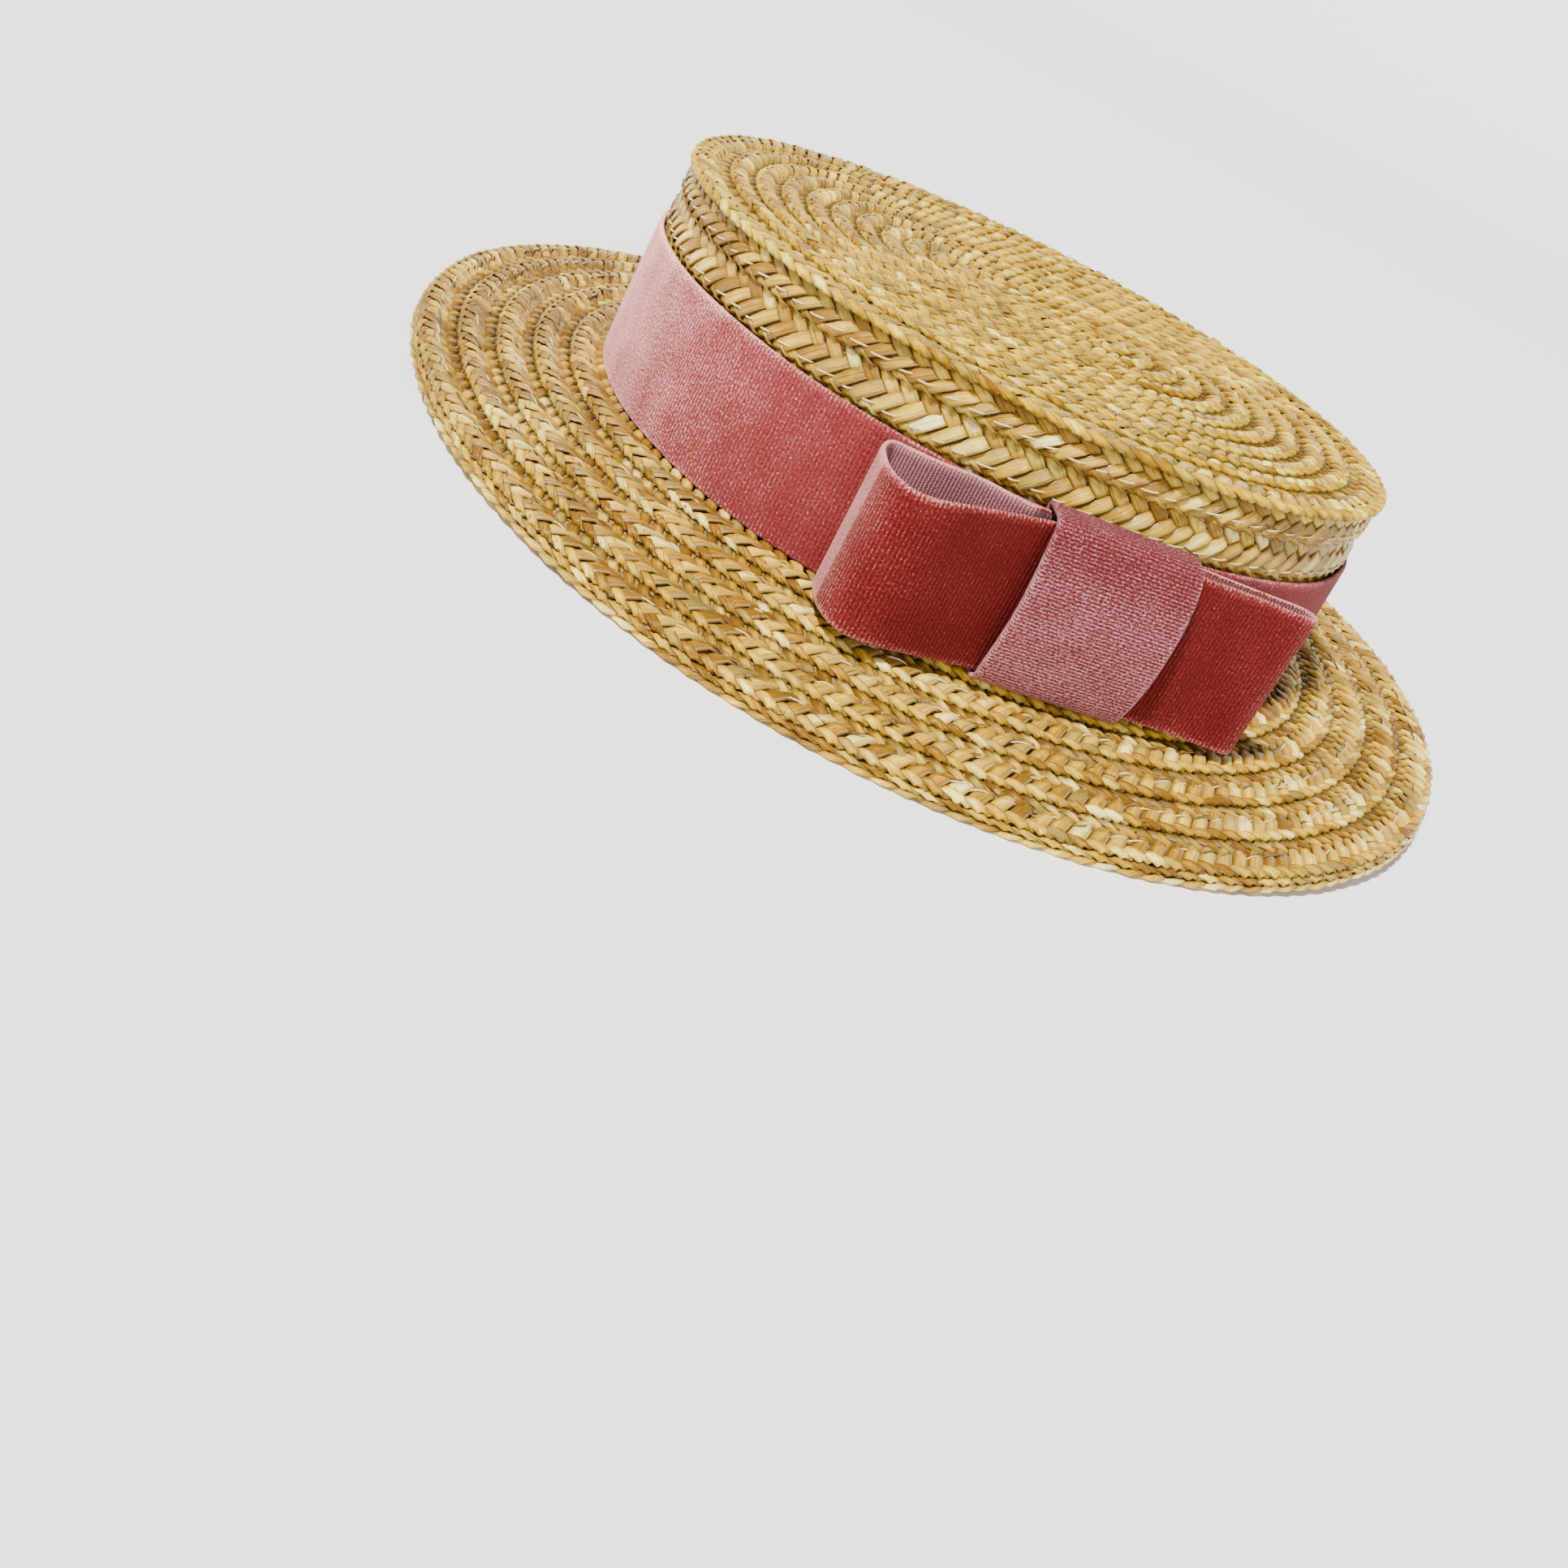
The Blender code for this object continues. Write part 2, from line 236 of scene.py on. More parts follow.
class Braid:
    """Gathers the blocks of several rows and makes one mesh of them.

    Each row has three bands of blocks, and the last one goes round its edge. The last argument is how far
    painted shade lowers the straws' tone towards the hat's left end.
    """

    BANDS = 3
    REACH = 2 * BANDS - 1.5  # from a row's start to the middle of its edge, in half straws

    def __init__(self, name, finish, seed, template=FINE, left_end_shade=0.0):
        self.name, self.finish, self.left_end_shade = name, finish, left_end_shade
        self.random = np.random.RandomState(seed)
        along, across = np.array(template[0]), np.array(template[1])
        self.taper = PUFFY_TAPER if template is PUFFY else FINE_TAPER
        self.u, self.v = np.meshgrid(along[:, 0], across[:, 0], indexing="ij")
        self.lift = (along[:, 1][:, None] + across[:, 1][None, :]) * MM
        self.points, self.quads, self.tones, self.lays = [], [], [], []
        self.total = 0

    def row(
        self, place, start, end, pitch, radius, bulge=0.0, side=1,
        groove=0.0, sewn=0.5, lean=0.0, squash=1.0, crease_shade=CREASE_SHADE_REACH,
    ):
        """One row from start to end, both (across, up), whose end is a rounded edge of this radius.

        It bulges, and a groove runs along it at sewn, a share of its flat part. side is -1 for a row that
        faces the other way. The straws round the edge overlap like scales: lean lays them more along the
        row, and squash makes their band narrow.
        """
        rand = self.random
        length = hypot(end[0] - start[0], end[1] - start[1])
        ahead = np.array([(end[0] - start[0]) / length, (end[1] - start[1]) / length])
        out = np.array([-ahead[1], ahead[0]]) * side
        flat = length - radius
        path = (np.array(start), ahead, out, flat, radius, bulge, groove, sewn)
        level = (flat + pi / 2 * radius) / self.REACH
        edge_offset = self.offset_of(place, end)
        count = max(7, round(oval_length(edge_offset) / pitch))
        angles = arc_angles(edge_offset, count)
        index = np.arange(count).reshape(count, 1, 1)
        knots = rand.rand(2, count // 4 + 2)
        slow_tones = [np.interp(np.arange(count) / 4, np.arange(count // 4 + 2), line) for line in knots]
        strand_tones = 0.5 * rand.rand(2, count) + 0.5 * np.array(slow_tones)
        for band in range(self.BANDS):
            wide = rand.uniform(0.92, 1.06, index.shape)
            u = self.u * rand.uniform(0.93, 1.06, index.shape) + rand.normal(0, 0.05, index.shape)
            taper = np.where((self.u < 0) & (band > 0), INNER_TAPER, self.taper)
            narrow = 1 - taper * np.clip(np.abs(self.u) - 0.2, 0, 1) ** 1.4
            v = self.v * narrow * wide + rand.normal(0, 0.035, index.shape)
            if band % 2 == 0:
                a, b = index + 2 * band + 1 + u, index + 0.5 + v
            else:
                a, b = index + 0.5 + v, index - 2 * band + u
            if band == self.BANDS - 2 and lean > 0:
                b = b + 0.6 * np.minimum(u, 0)
            edge_band = band == self.BANDS - 1 and lean > 0
            if edge_band:
                b = index + 0.5 + 1.3 * v
            roll = rand.normal(0, 0.2, index.shape) * self.v
            pitching = rand.normal(0, 0.07, index.shape) * self.u
            tilt = 0.2 * self.v * edge_band + roll + pitching
            h = self.lift + (tilt + rand.normal(0, 0.05, index.shape)) * MM
            s = (a + b) / 2 + lean * np.clip(a - b - (self.REACH - 1), 0, None)
            t = level * (a - b)
            if edge_band:
                t = level * (self.REACH + squash * (a - b - self.REACH))
            self.points.append(self.bend(place, path, angles, s, t, h))
            self.add_faces(count, flipped=(band % 2 == 0) == (side > 0))
            tone = 0.65 * strand_tones[band % 2] + 0.35 * rand.rand(count)
            # Painted shade: the tone is lowered towards the hat's left end
            tone = tone - self.left_end_shade * np.clip(-np.cos(angles[:count]), 0, 1)
            # Painted shade, kept as the tone's fourth value: under the edge before this row, along the sewn
            # groove, and round under this row's own edge
            start_shade = np.clip((crease_shade - t) / CREASE_SHADE_FADE, 0, 1)
            under_edge_shade = np.clip((t - flat) / radius - 0.62 * pi, 0, 1)
            groove_shade = 0.6 * min(1, groove / (0.6 * MM)) * np.exp(-(((t / flat - sewn) / 0.06) ** 2))
            shade = np.maximum(np.maximum(start_shade, groove_shade), under_edge_shade)
            self.add_looks((tone, rand.rand(count), rand.rand(count)), shade)

    @staticmethod
    def offset_of(place, spot):
        """Offset of the hat's oval at a spot of a row, where a row is placed with this function."""
        return place(np.zeros(1), np.array([spot[0]]), np.array([spot[1]]))[0, 0] - TIP_HALF_LENGTH

    @staticmethod
    def bend(place, path, angles, s, t, h):
        """Bends flat blocks round the row's edge, and then round the hat."""
        start, ahead, out, flat, radius, bulge, groove, sewn = path
        turned = np.clip((t - flat) / radius, 0, pi)[..., None]
        beyond = np.clip(t - flat - pi * radius, 0, None)[..., None]
        straight = np.minimum(t, flat)[..., None]
        normal = out * np.cos(turned) + ahead * np.sin(turned)
        hump = bulge * np.clip(1 - (2 * np.clip(straight / flat, 0, 1) ** 1.5 - 1) ** 2, 0, 1)
        hump = hump - groove * np.exp(-(((straight / flat - sewn) / 0.09) ** 2))
        section = start + ahead * (straight - beyond) + out * (hump - radius)
        section = section + normal * (radius + h[..., None])
        return place(angle_at(angles, s), section[..., 0], section[..., 1]).reshape(-1, 3)

    def add_faces(self, count, flipped):
        one = grid_quads(*self.u.shape)
        if flipped:
            one = one[:, ::-1]
        starts = self.total + np.arange(count) * self.u.size
        self.quads.append((one[None] + starts[:, None, None]).reshape(-1, 4))
        self.total += count * self.u.size

    def add_looks(self, per_block, shade):
        tone, hue, gloss = (values[:, None, None] for values in per_block)
        seed = 50 * self.random.rand(*tone.shape)
        self.tones.append(per_point(shade.shape, tone, hue, gloss, shade))
        self.lays.append(per_point(shade.shape, self.u, self.v, seed))

    def make(self):
        return gathered_mesh(self, np.concatenate(self.quads))


# Materials
class Finish:
    """A material and short ways to add nodes to it."""

    def __init__(self, name):
        self.made = bpy.data.materials.new(name)
        self.made.use_nodes = True
        self.nodes, self.links = self.made.node_tree.nodes, self.made.node_tree.links
        self.shader = self.nodes["Principled BSDF"]

    def node(self, kind, settings=(), **inputs):
        node = self.nodes.new("ShaderNode" + kind)
        for label, value in dict(settings).items():
            setattr(node, label, value)
        for label, value in inputs.items():
            self.plug(node, label.replace("_", " "), value)
        return node

    def plug(self, node, label, value):
        numbered = label[0] == "i" and label[1:].isdigit()
        socket = node.inputs[int(label[1:])] if numbered else node.inputs[label]
        if isinstance(value, bpy.types.NodeSocket):
            self.links.new(value, socket)
        else:
            socket.default_value = value

    def attribute(self, name):
        return self.node("Attribute", {"attribute_name": name})

    def math(self, operation, first, second=0.5, third=0.0, clamp=False):
        settings = {"operation": operation, "use_clamp": clamp}
        return self.node("Math", settings, i0=first, i1=second, i2=third).outputs[0]

    def swing(self, value, weight):
        """What lies about a half comes to lie about zero, this far to each side."""
        return self.math("MULTIPLY", self.math("SUBTRACT", value, 0.5), weight)

    def noise(self, vector, scale, detail=2.0, roughness=0.5):
        made = self.node("TexNoise", Vector=vector, Scale=scale, Detail=detail, Roughness=roughness)
        return made.outputs["Fac"]

    def ramp(self, value, stops):
        node = self.node("ValToRGB", Fac=value)
        points = node.color_ramp.elements
        while len(points) < len(stops):
            points.new(0.5)
        for point, (place, colour) in zip(points, stops):
            point.position = place
            point.color = (*colour, 1)
        return node.outputs["Color"]

    def mix(self, share, first, second, blend="MIX"):
        node = self.node("Mix", {"data_type": "RGBA", "blend_type": blend}, i0=share, i6=first, i7=second)
        return node.outputs[2]

    def bump(self, height, strength, distance):
        return self.node("Bump", Height=height, Strength=strength, Distance=distance).outputs["Normal"]

    def stretched(self, vector, scale):
        return self.node("VectorMath", {"operation": "MULTIPLY"}, i0=vector, i1=scale).outputs[0]

    def position(self):
        return self.node("TexCoord").outputs["Object"]

    def shade(self, **inputs):
        for label, value in inputs.items():
            self.plug(self.shader, label.replace("_", " "), value)
        return self.made


# Painted shade: the colour that the creases between the rows are darkened towards
CREASE_SHADE_COLOUR = (0.065, 0.033, 0.008, 1)
GREEN_STRAW = (0.44, 0.37, 0.08, 1)
# Painted highlight: the colour of the pale line along each straw's raised edge
LIP_HIGHLIGHT = (0.76, 0.64, 0.36, 1)
GREEN_FROM = 0.78  # the straws with a hue above this are greenish
CRACK_WIDTH, LIP_WIDTH, LIP_AT = 0.022, 0.06, 0.42  # in straw widths, like all places on a straw
# Where along a straw the painted shade at its ends becomes full, in straw widths
END_SHADE_REACH = 1.3


def straw(name, stops, crack_and_shade_colour, spread=1.9, side_shade_narrowness=4.5, specular=0.3, sides=0.8, crease_shade_strength=0.82):
    """Split straw: one tone for each straw, fine fibres along it, a crack, painted shade at its sides and
    ends, a painted highlight along one raised edge, and painted light across its crest.

    spread is how far apart the straws' tone values lie. The argument after it sets how narrow the painted
    shade at the sides is; the last two set how dark the painted shade at the sides and ends, and in the
    creases between the rows, gets.
    """
    look = Finish(name)
    tone = look.attribute("tone")
    parts = look.node("SeparateColor", Color=tone.outputs["Color"]).outputs
    lay = look.attribute("lay").outputs["Vector"]
    place = look.node("SeparateXYZ", Vector=lay).outputs
    fibres = look.noise(look.stretched(lay, (0.6, 8, 1)), 1.0, 3.0, 0.75)
    patches = look.noise(look.stretched(lay, (1.3, 1.5, 1)), 1.0, 2.0, 0.5)
    value = look.math("MULTIPLY_ADD", parts["Red"], spread, 0.37 - 0.5 * spread)
    value = look.math("ADD", value, look.swing(patches, 0.7))
    value = look.math("ADD", value, look.swing(fibres, 1.1))
    off_middle = look.math("ABSOLUTE", place["Y"])
    off_centre = look.math("ABSOLUTE", place["X"])
    # Painted light: each straw is lighter along its crest and darker towards its sides and ends
    crest_light_across = look.math("MULTIPLY_ADD", look.math("POWER", off_middle, 2.0), -1.7, 0.2)
    crest_light_along = look.math("MULTIPLY", look.math("POWER", off_centre, 2.0), -0.17)
    value = look.math("ADD", value, look.math("ADD", crest_light_across, crest_light_along))
    colour = look.ramp(value, stops)
    green = look.math("MULTIPLY", look.math("GREATER_THAN", parts["Green"], GREEN_FROM), 0.3)
    colour = look.mix(green, colour, GREEN_STRAW)
    crack_at = look.math("ADD", look.swing(patches, 0.12), look.swing(parts["Green"], 0.8))
    crack = look.math("ABSOLUTE", look.math("SUBTRACT", place["Y"], crack_at))
    crack = look.math("SUBTRACT", 1.0, look.math("DIVIDE", crack, CRACK_WIDTH), clamp=True)
    # Painted shade at each straw's sides and ends, where it meets the straws beside it
    side = look.math("POWER", look.math("MULTIPLY", off_middle, 2.0), side_shade_narrowness, clamp=True)
    end = look.math("POWER", look.math("DIVIDE", off_centre, END_SHADE_REACH), 6.0, clamp=True)
    # A painted highlight along each straw's raised edge
    lip_highlight = look.math("ABSOLUTE", look.math("SUBTRACT", place["Y"], LIP_AT))
    lip_highlight = look.math("SUBTRACT", 1.0, look.math("DIVIDE", lip_highlight, LIP_WIDTH), clamp=True)
    colour = look.mix(look.math("MULTIPLY", lip_highlight, 0.3), colour, LIP_HIGHLIGHT)
    # The crack's own dark line, and the painted shade at the sides and ends
    side_and_end_shade = look.math("MULTIPLY", look.math("MAXIMUM", side, end), sides)
    dark = look.math("MAXIMUM", look.math("MULTIPLY", crack, 0.65), side_and_end_shade)
    colour = look.mix(dark, colour, (*crack_and_shade_colour, 1))
    # Painted shade in the creases between the rows, from the tone's fourth value
    crease_shade = look.math("POWER", tone.outputs["Alpha"], 1.3)
    crease_shade = look.math("MULTIPLY", crease_shade, crease_shade_strength, clamp=True)
    colour = look.mix(crease_shade, colour, CREASE_SHADE_COLOUR)
    rough = look.node("MapRange", Value=parts["Blue"], To_Min=0.17, To_Max=0.34).outputs[0]
    height = look.math("SUBTRACT", fibres, crack)
    return look.shade(
        Base_Color=colour,
        Roughness=rough,
        Normal=look.bump(height, 0.7, 0.5 * MM),
        Specular_IOR_Level=specular,
        Specular_Tint=(1, 0.82, 0.48, 1),
    )


STRAW_STOPS = (
    (0.0, (0.25, 0.125, 0.013)),
    (0.2, (0.39, 0.215, 0.023)),
    (0.42, (0.55, 0.325, 0.026)),
    (0.65, (0.70, 0.450, 0.046)),
    (0.85, (0.85, 0.620, 0.110)),
    (1.0, (0.96, 0.840, 0.380)),
)
# The dark colour of the straws' cracks, and of the painted shade at their sides and ends
STRAW_CRACK_AND_SHADE = (0.10, 0.042, 0.008)
crown_straw = straw("crown_straw", STRAW_STOPS, STRAW_CRACK_AND_SHADE)


def toned(green, blue, darkest):
    """The straw's colours with less green and blue in them, and with this share of the darkest one."""
    stops = []
    for at, (r, g, b) in STRAW_STOPS:
        share = darkest + (1.02 - darkest) * at
        stops.append((at, (r * share, g * green * share, b * blue * share)))
    return stops


TIP_STOPS, BRIM_STOPS = toned(0.97, 0.5, 0.84), toned(0.925, 0.65, 0.74)
tip_straw = straw(
    "tip_straw", TIP_STOPS, STRAW_CRACK_AND_SHADE, spread=1.35, side_shade_narrowness=4, specular=0.12, sides=0.5, crease_shade_strength=0.95
)
brim_straw = straw("brim_straw", BRIM_STOPS, STRAW_CRACK_AND_SHADE, sides=0.6, crease_shade_strength=0.95)


def core_finish():
    """The braid's insides, painted dark brown as shade, seen only between its straws."""
    look = Finish("straw_core")
    grain = look.noise(look.position(), 900.0, 3.0)
    colour = look.ramp(grain, ((0.3, (0.16, 0.085, 0.020)), (0.7, (0.34, 0.20, 0.05))))
    return look.shade(Base_Color=colour, Roughness=0.8, Normal=look.bump(grain, 0.4, 0.3 * MM))


straw_core = core_finish()
# How far apart the straws are along a row, how round a row's edge is, and where a brim row is sewn
TIP_PITCH, TIP_EDGE_PITCH, WALL_PITCH = 4.5 * MM, 5.3 * MM, 5.1 * MM
BRIM_PITCH, EDGE_PITCH = 4.6 * MM, 5.5 * MM
ROW_EDGE, TIP_ROW_EDGE, TIP_LAST_EDGE, BRAID_EDGE = 0.75 * MM, 0.85 * MM, 1.2 * MM, 0.7 * MM
INNER_EDGE, UNDER_EDGE = 0.4 * MM, 0.5 * MM
STITCHED = 0.58


def equal_rows(start, end, count):
    size = (end - start) / count
    return [(start + i * size, start + (i + 1) * size) for i in range(count)]


# Tip
tip = Braid("tip_braid", tip_straw, 11, PUFFY)
low = -BRAID_STEP - RELIEF - 0.35 * MM  # a row's start, under the edge before it
high = -RELIEF + 0.2 * MM  # a row's edge, over the start of the next one
tip_start = TIP_MIDDLE - TIP_HALF_WIDTH
middle_row = (0.8 * MM - TIP_HALF_WIDTH, tip_start)
tip_rows = equal_rows(tip_start, -TIP_EDGE_ROW, TIP_ROWS - 1)
for inner, outer in [middle_row] + tip_rows:
    in_middle = outer == tip_start
    start, end = (inner - UNDER, high - 1.0 * MM if in_middle else low), (outer, high)
    tip.row(
        on_tip, start, end, TIP_PITCH, TIP_ROW_EDGE, bulge=0.5 * MM, groove=0.2 * MM,
        lean=0.2, squash=0.9, crease_shade=0 if in_middle else 3.0 * MM,
    )
start, end = (-TIP_EDGE_ROW - UNDER, low), (0.8 * MM, high)
tip.row(
    on_tip, start, end, TIP_EDGE_PITCH, TIP_LAST_EDGE, bulge=0.4 * MM, groove=0.6 * MM, sewn=0.72,
    lean=0.18, squash=0.8, crease_shade=2.8 * MM,
)
tip.make()

# Wall
wall = Braid("wall_braid", crown_straw, 12, left_end_shade=0.09)
wall_rows = equal_rows(0, TOP - WALL_BASE, WALL_ROWS)
for upper, lower in wall_rows:
    start, end = (max(upper, TIP_EDGE_ROLL) - UNDER, low + 0.45 * MM), (lower, high)
    wall.row(
        on_wall, start, end, WALL_PITCH, ROW_EDGE, bulge=0.6 * MM, groove=0.25 * MM, sewn=0.78,
        lean=0.12, squash=0.72,
    )
wall.make()

# Brim
brim = Braid("brim_braid", brim_straw, 13, PUFFY, left_end_shade=0.08)
brim_rows = equal_rows(0, BRIM_WIDTH, BRIM_ROWS)
for inner, outer in brim_rows:
    start, end = (inner - UNDER, low if inner > 0 else -0.9 * MM), (outer, high)
    brim.row(
        on_brim, start, end, BRIM_PITCH, ROW_EDGE, bulge=0.75 * MM, groove=0.6 * MM, sewn=STITCHED,
        lean=0.2, squash=0.75, crease_shade=2.7 * MM if inner > 0 else 1.0 * MM,
    )
brim.make()

# Brim's edge: two more braids, one above the other, under the brim's last row
edge = Braid("edge_braid", brim_straw, 14, PUFFY)
edge_outer = BRIM_WIDTH + EDGE_BRAID_PROUD
edge_inner = edge_outer - EDGE_BRAID_WIDTH
STACK = 3.4 * MM
upper_braid, lower_braid = STACK - RELIEF, RELIEF
for up, outer, side in ((upper_braid, edge_outer - 0.4 * MM, 1), (lower_braid, edge_outer, -1)):
    start, end = (edge_inner, up), (outer, up)
    edge.row(on_edge_braid, start, end, EDGE_PITCH, BRAID_EDGE, side=side, lean=0.22, squash=0.75)
edge.make()

# Undersides and the crown's inside
under = Braid("brim_under_braid", brim_straw, 15, PLAIN)
for inner, outer in brim_rows:
    hidden = outer - BRAID_OVERLAP + UNDER if outer < BRIM_WIDTH else edge_inner + 2 * MM
    shown = inner - BRAID_OVERLAP if inner > 0 else -SHELL + 0.2 * MM
    rise = BRAID_STEP / (BRIM_WIDTH / BRIM_ROWS)
    heights = [-(outer - across) * rise - BRAID + RELIEF for across in (hidden, shown)]
    under.row(on_brim, (hidden, heights[0]), (shown, heights[1]), BRIM_PITCH, UNDER_EDGE)
under.make()
inside = Braid("crown_inner_braid", crown_straw, 16, PLAIN)
inner_start, inner_end = -SHELL + RELIEF, -SHELL + RELIEF + 0.1 * MM
corner = SHELL + 0.3 * MM  # of the wall's inside with the tip's
for upper, lower in wall_rows:
    first = corner if upper == 0 else upper
    inside.row(on_wall, (lower, inner_start), (first, inner_end), BRIM_PITCH, INNER_EDGE)
for inner, outer in [middle_row] + equal_rows(tip_start, -corner, TIP_ROWS):
    inside.row(on_tip, (outer, inner_start), (inner, inner_end), TIP_PITCH, INNER_EDGE)
inside.make()


# Cores: thin shells under the straws, so no light comes through the plait. Their dark brown is painted shade.
CORE_SIDES = 192
CORE_LOW, CORE_HIGH, CORE_THICK = -1.85 * MM, -1.05 * MM, 0.1 * MM
EDGE_DEPTH = RELIEF + 0.45 * MM


def shell(name, sections, joined):
    """A skin round the hat through (place, across, up) sections, and back to the first one if joined."""
    around = np.linspace(0, 2 * pi, CORE_SIDES + 1)[:-1]
    level = np.ones(CORE_SIDES)
    points = np.concatenate([place(around, across * level, up * level) for place, across, up in sections])
    grid = (len(sections), CORE_SIDES)
    quads = closed_quads(*grid) if joined else grid_quads(*grid, closed=True)
    return mesh_object(name, points, quads, straw_core)


def thin_back(sections):
    """The same sections in turn on the way back, a little further in."""
    return [(place, across, up - CORE_THICK) for place, across, up in sections[::-1]]


crown_core = [(on_tip, -TIP_HALF_WIDTH + 0.4 * MM, -BRAID_STEP - 0.3 * MM)]
for inner, outer in tip_rows:
    crown_core += [(on_tip, inner - UNDER, CORE_LOW), (on_tip, outer - 0.4 * MM, CORE_HIGH)]
crown_core += [(on_tip, -TIP_EDGE_ROW - UNDER, CORE_LOW), (on_tip, -1.4 * MM, CORE_HIGH)]
crown_core += [(on_tip, -1.3 * MM, -1.6 * MM)]
for upper, lower in wall_rows:
    crown_core += [(on_wall, max(upper, TIP_EDGE_ROLL) - UNDER, CORE_LOW)]
    crown_core += [(on_wall, lower - 0.4 * MM, CORE_HIGH)]
crown_core += thin_back(crown_core)
crown_shell = shell("crown_core", crown_core, joined=False)
brim_core = [(on_brim, -SHELL + 0.5 * MM, CORE_LOW)]
for inner, outer in brim_rows:
    brim_core += [(on_brim, max(inner - UNDER, -SHELL + 0.6 * MM), CORE_LOW)]
    brim_core += [(on_brim, outer - 0.5 * MM, CORE_HIGH)]
brim_core += thin_back(brim_core)
brim_shell = shell("brim_core", brim_core, joined=True)
edge_core = [
    (on_edge_braid, edge_inner + 0.5 * MM, upper_braid - EDGE_DEPTH),
    (on_edge_braid, edge_outer - 1.4 * MM, upper_braid - EDGE_DEPTH),
    (on_edge_braid, edge_outer - 1.0 * MM, lower_braid + EDGE_DEPTH),
    (on_edge_braid, edge_inner + 0.5 * MM, lower_braid + EDGE_DEPTH),
]
edge_shell = shell("edge_core", edge_core, joined=True)


# Sewing thread, and the fine straw ends that it leaves standing out
class Threads:
    """Gathers short bent strands laid along rows, and makes one mesh of them."""

    LINES = np.array([-0.5, -0.42, -0.2, 0.1, 0.35, 0.47, 0.5])  # where a strand has points, in its lengths

    def __init__(self, name, finish, seed, sides=5):
        self.name, self.finish, self.sides = name, finish, sides
        self.random = np.random.RandomState(seed)
        self.points, self.tones, self.lays, self.count = [], [], [], 0

    def row(self, place, across, up, spacing, length, drift, size, ends, spread=0.0, keep=1.0):
        """One row of strands round the hat, this far across and up.

        drift is how far each strand moves across along its length, size its (half width, half thickness),
        and ends how far up its two ends lie from its middle. spread is how uneven the strands are, and keep
        the share of the row's places that have one.
        """
        rand = self.random
        offset = Braid.offset_of(place, (across, up))
        total = max(6, round(oval_length(offset) / spacing))
        angles = arc_angles(offset, total)
        kept = np.nonzero(rand.rand(total) < keep)[0]
        count = len(kept)
        shape = (count, 1, 1)
        long = length * rand.uniform(1 - spread, 1 + spread, shape)
        lean = drift * rand.uniform(1 - spread, 1 + spread, shape)
        line = self.LINES.reshape(1, -1, 1)
        turn = np.linspace(0, 2 * pi, self.sides, endpoint=False).reshape(1, 1, -1)
        taper = 1 - 0.5 * (2 * np.abs(line)) ** 6
        bow = rand.normal(0, 0.06 * spread, shape) * length * (1 - 4 * line**2)
        s = kept.reshape(shape) + rand.uniform(-0.3, 0.3, shape) * spread + line * long / spacing
        uneven = rand.uniform(1 - spread, 1 + spread, shape)
        high = np.where(line < 0, ends[0], ends[1]) * (2 * np.abs(line)) ** 2.5 * uneven
        astray = rand.normal(0, 0.12, shape) * spread * MM
        side = across + lean * line + bow + astray + size[0] * taper * np.cos(turn)
        lift = up + high + size[1] * taper * np.sin(turn) + 0 * side
        angle = angle_at(angles, np.broadcast_to(s, side.shape))
        self.points.append(place(angle, side, lift).reshape(-1, 3))
        tone, hue, gloss = rand.rand(3, *shape)
        # Its fourth value is the painted shade of the creases between rows, full for every strand, so the
        # straw ends are darkened most of the way to that shade's colour
        self.tones.append(per_point(side.shape, tone, hue, gloss, 1))
        self.lays.append(per_point(side.shape, line, turn / 6, 50 * tone))
        self.count += count

    def make(self):
        one = grid_quads(len(self.LINES), self.sides, closed=True)
        starts = np.arange(self.count) * len(self.LINES) * self.sides
        return gathered_mesh(self, (one[None] + starts[:, None, None]).reshape(-1, 4))


def cotton():
    look = Finish("sewing_cotton")
    lay = look.attribute("lay").outputs["Vector"]
    twist = look.noise(look.stretched(lay, (60, 8, 1)), 1.0, 2.0, 0.6)
    colour = look.ramp(twist, ((0.3, (0.56, 0.40, 0.16)), (0.7, (0.88, 0.72, 0.40))))
    return look.shade(Base_Color=colour, Roughness=0.75, Normal=look.bump(twist, 0.4, 0.2 * MM))


sewing_cotton = cotton()
PALE_STOPS = ((0.1, (0.50, 0.33, 0.10)), (0.5, (0.64, 0.48, 0.20)), (0.9, (0.76, 0.64, 0.36)))
end_straw = straw("straw_ends", PALE_STOPS, (0.30, 0.18, 0.06))

stitches = Threads("sewing_stitches", sewing_cotton, 21)
wisps = Threads("straw_wisps", end_straw, 22, sides=4)


def strands(spacing, length, drift, size, ends, spread, keep=1.0):
    """The values of Threads.row for one kind of strand, from sizes in millimetres."""
    return {
        "spacing": spacing * MM,
        "length": length * MM,
        "drift": drift * MM,
        "size": (size[0] * MM, size[1] * MM),
        "ends": (ends[0] * MM, ends[1] * MM),
        "spread": spread,
        "keep": keep,
    }


WALL_STITCHES = strands(5.9, 4.2, -0.7, (0.24, 0.2), (-0.7, -0.7), 0.25)
WALL_WISPS = strands(5.1, 4.6, 1.0, (0.18, 0.1), (-0.5, -0.1), 0.6, keep=0.15)
BRIM_STITCHES = strands(5.2, 4.6, -0.9, (0.2, 0.18), (-0.6, -0.6), 0.3, keep=0.35)
BRIM_LONG_WISPS = strands(4.6, 5.6, -0.9, (0.24, 0.1), (-0.6, 0.1), 0.6, keep=0.2)
BRIM_SHORT_WISPS = strands(4.6, 4.5, 1.6, (0.2, 0.1), (-0.6, 0.1), 0.6, keep=0.12)
TIP_WISPS = strands(4.8, 4.5, -1.2, (0.2, 0.1), (-0.5, 0.1), 0.6, keep=0.4)
SEWN_WALL_ROWS = 2  # those above the band
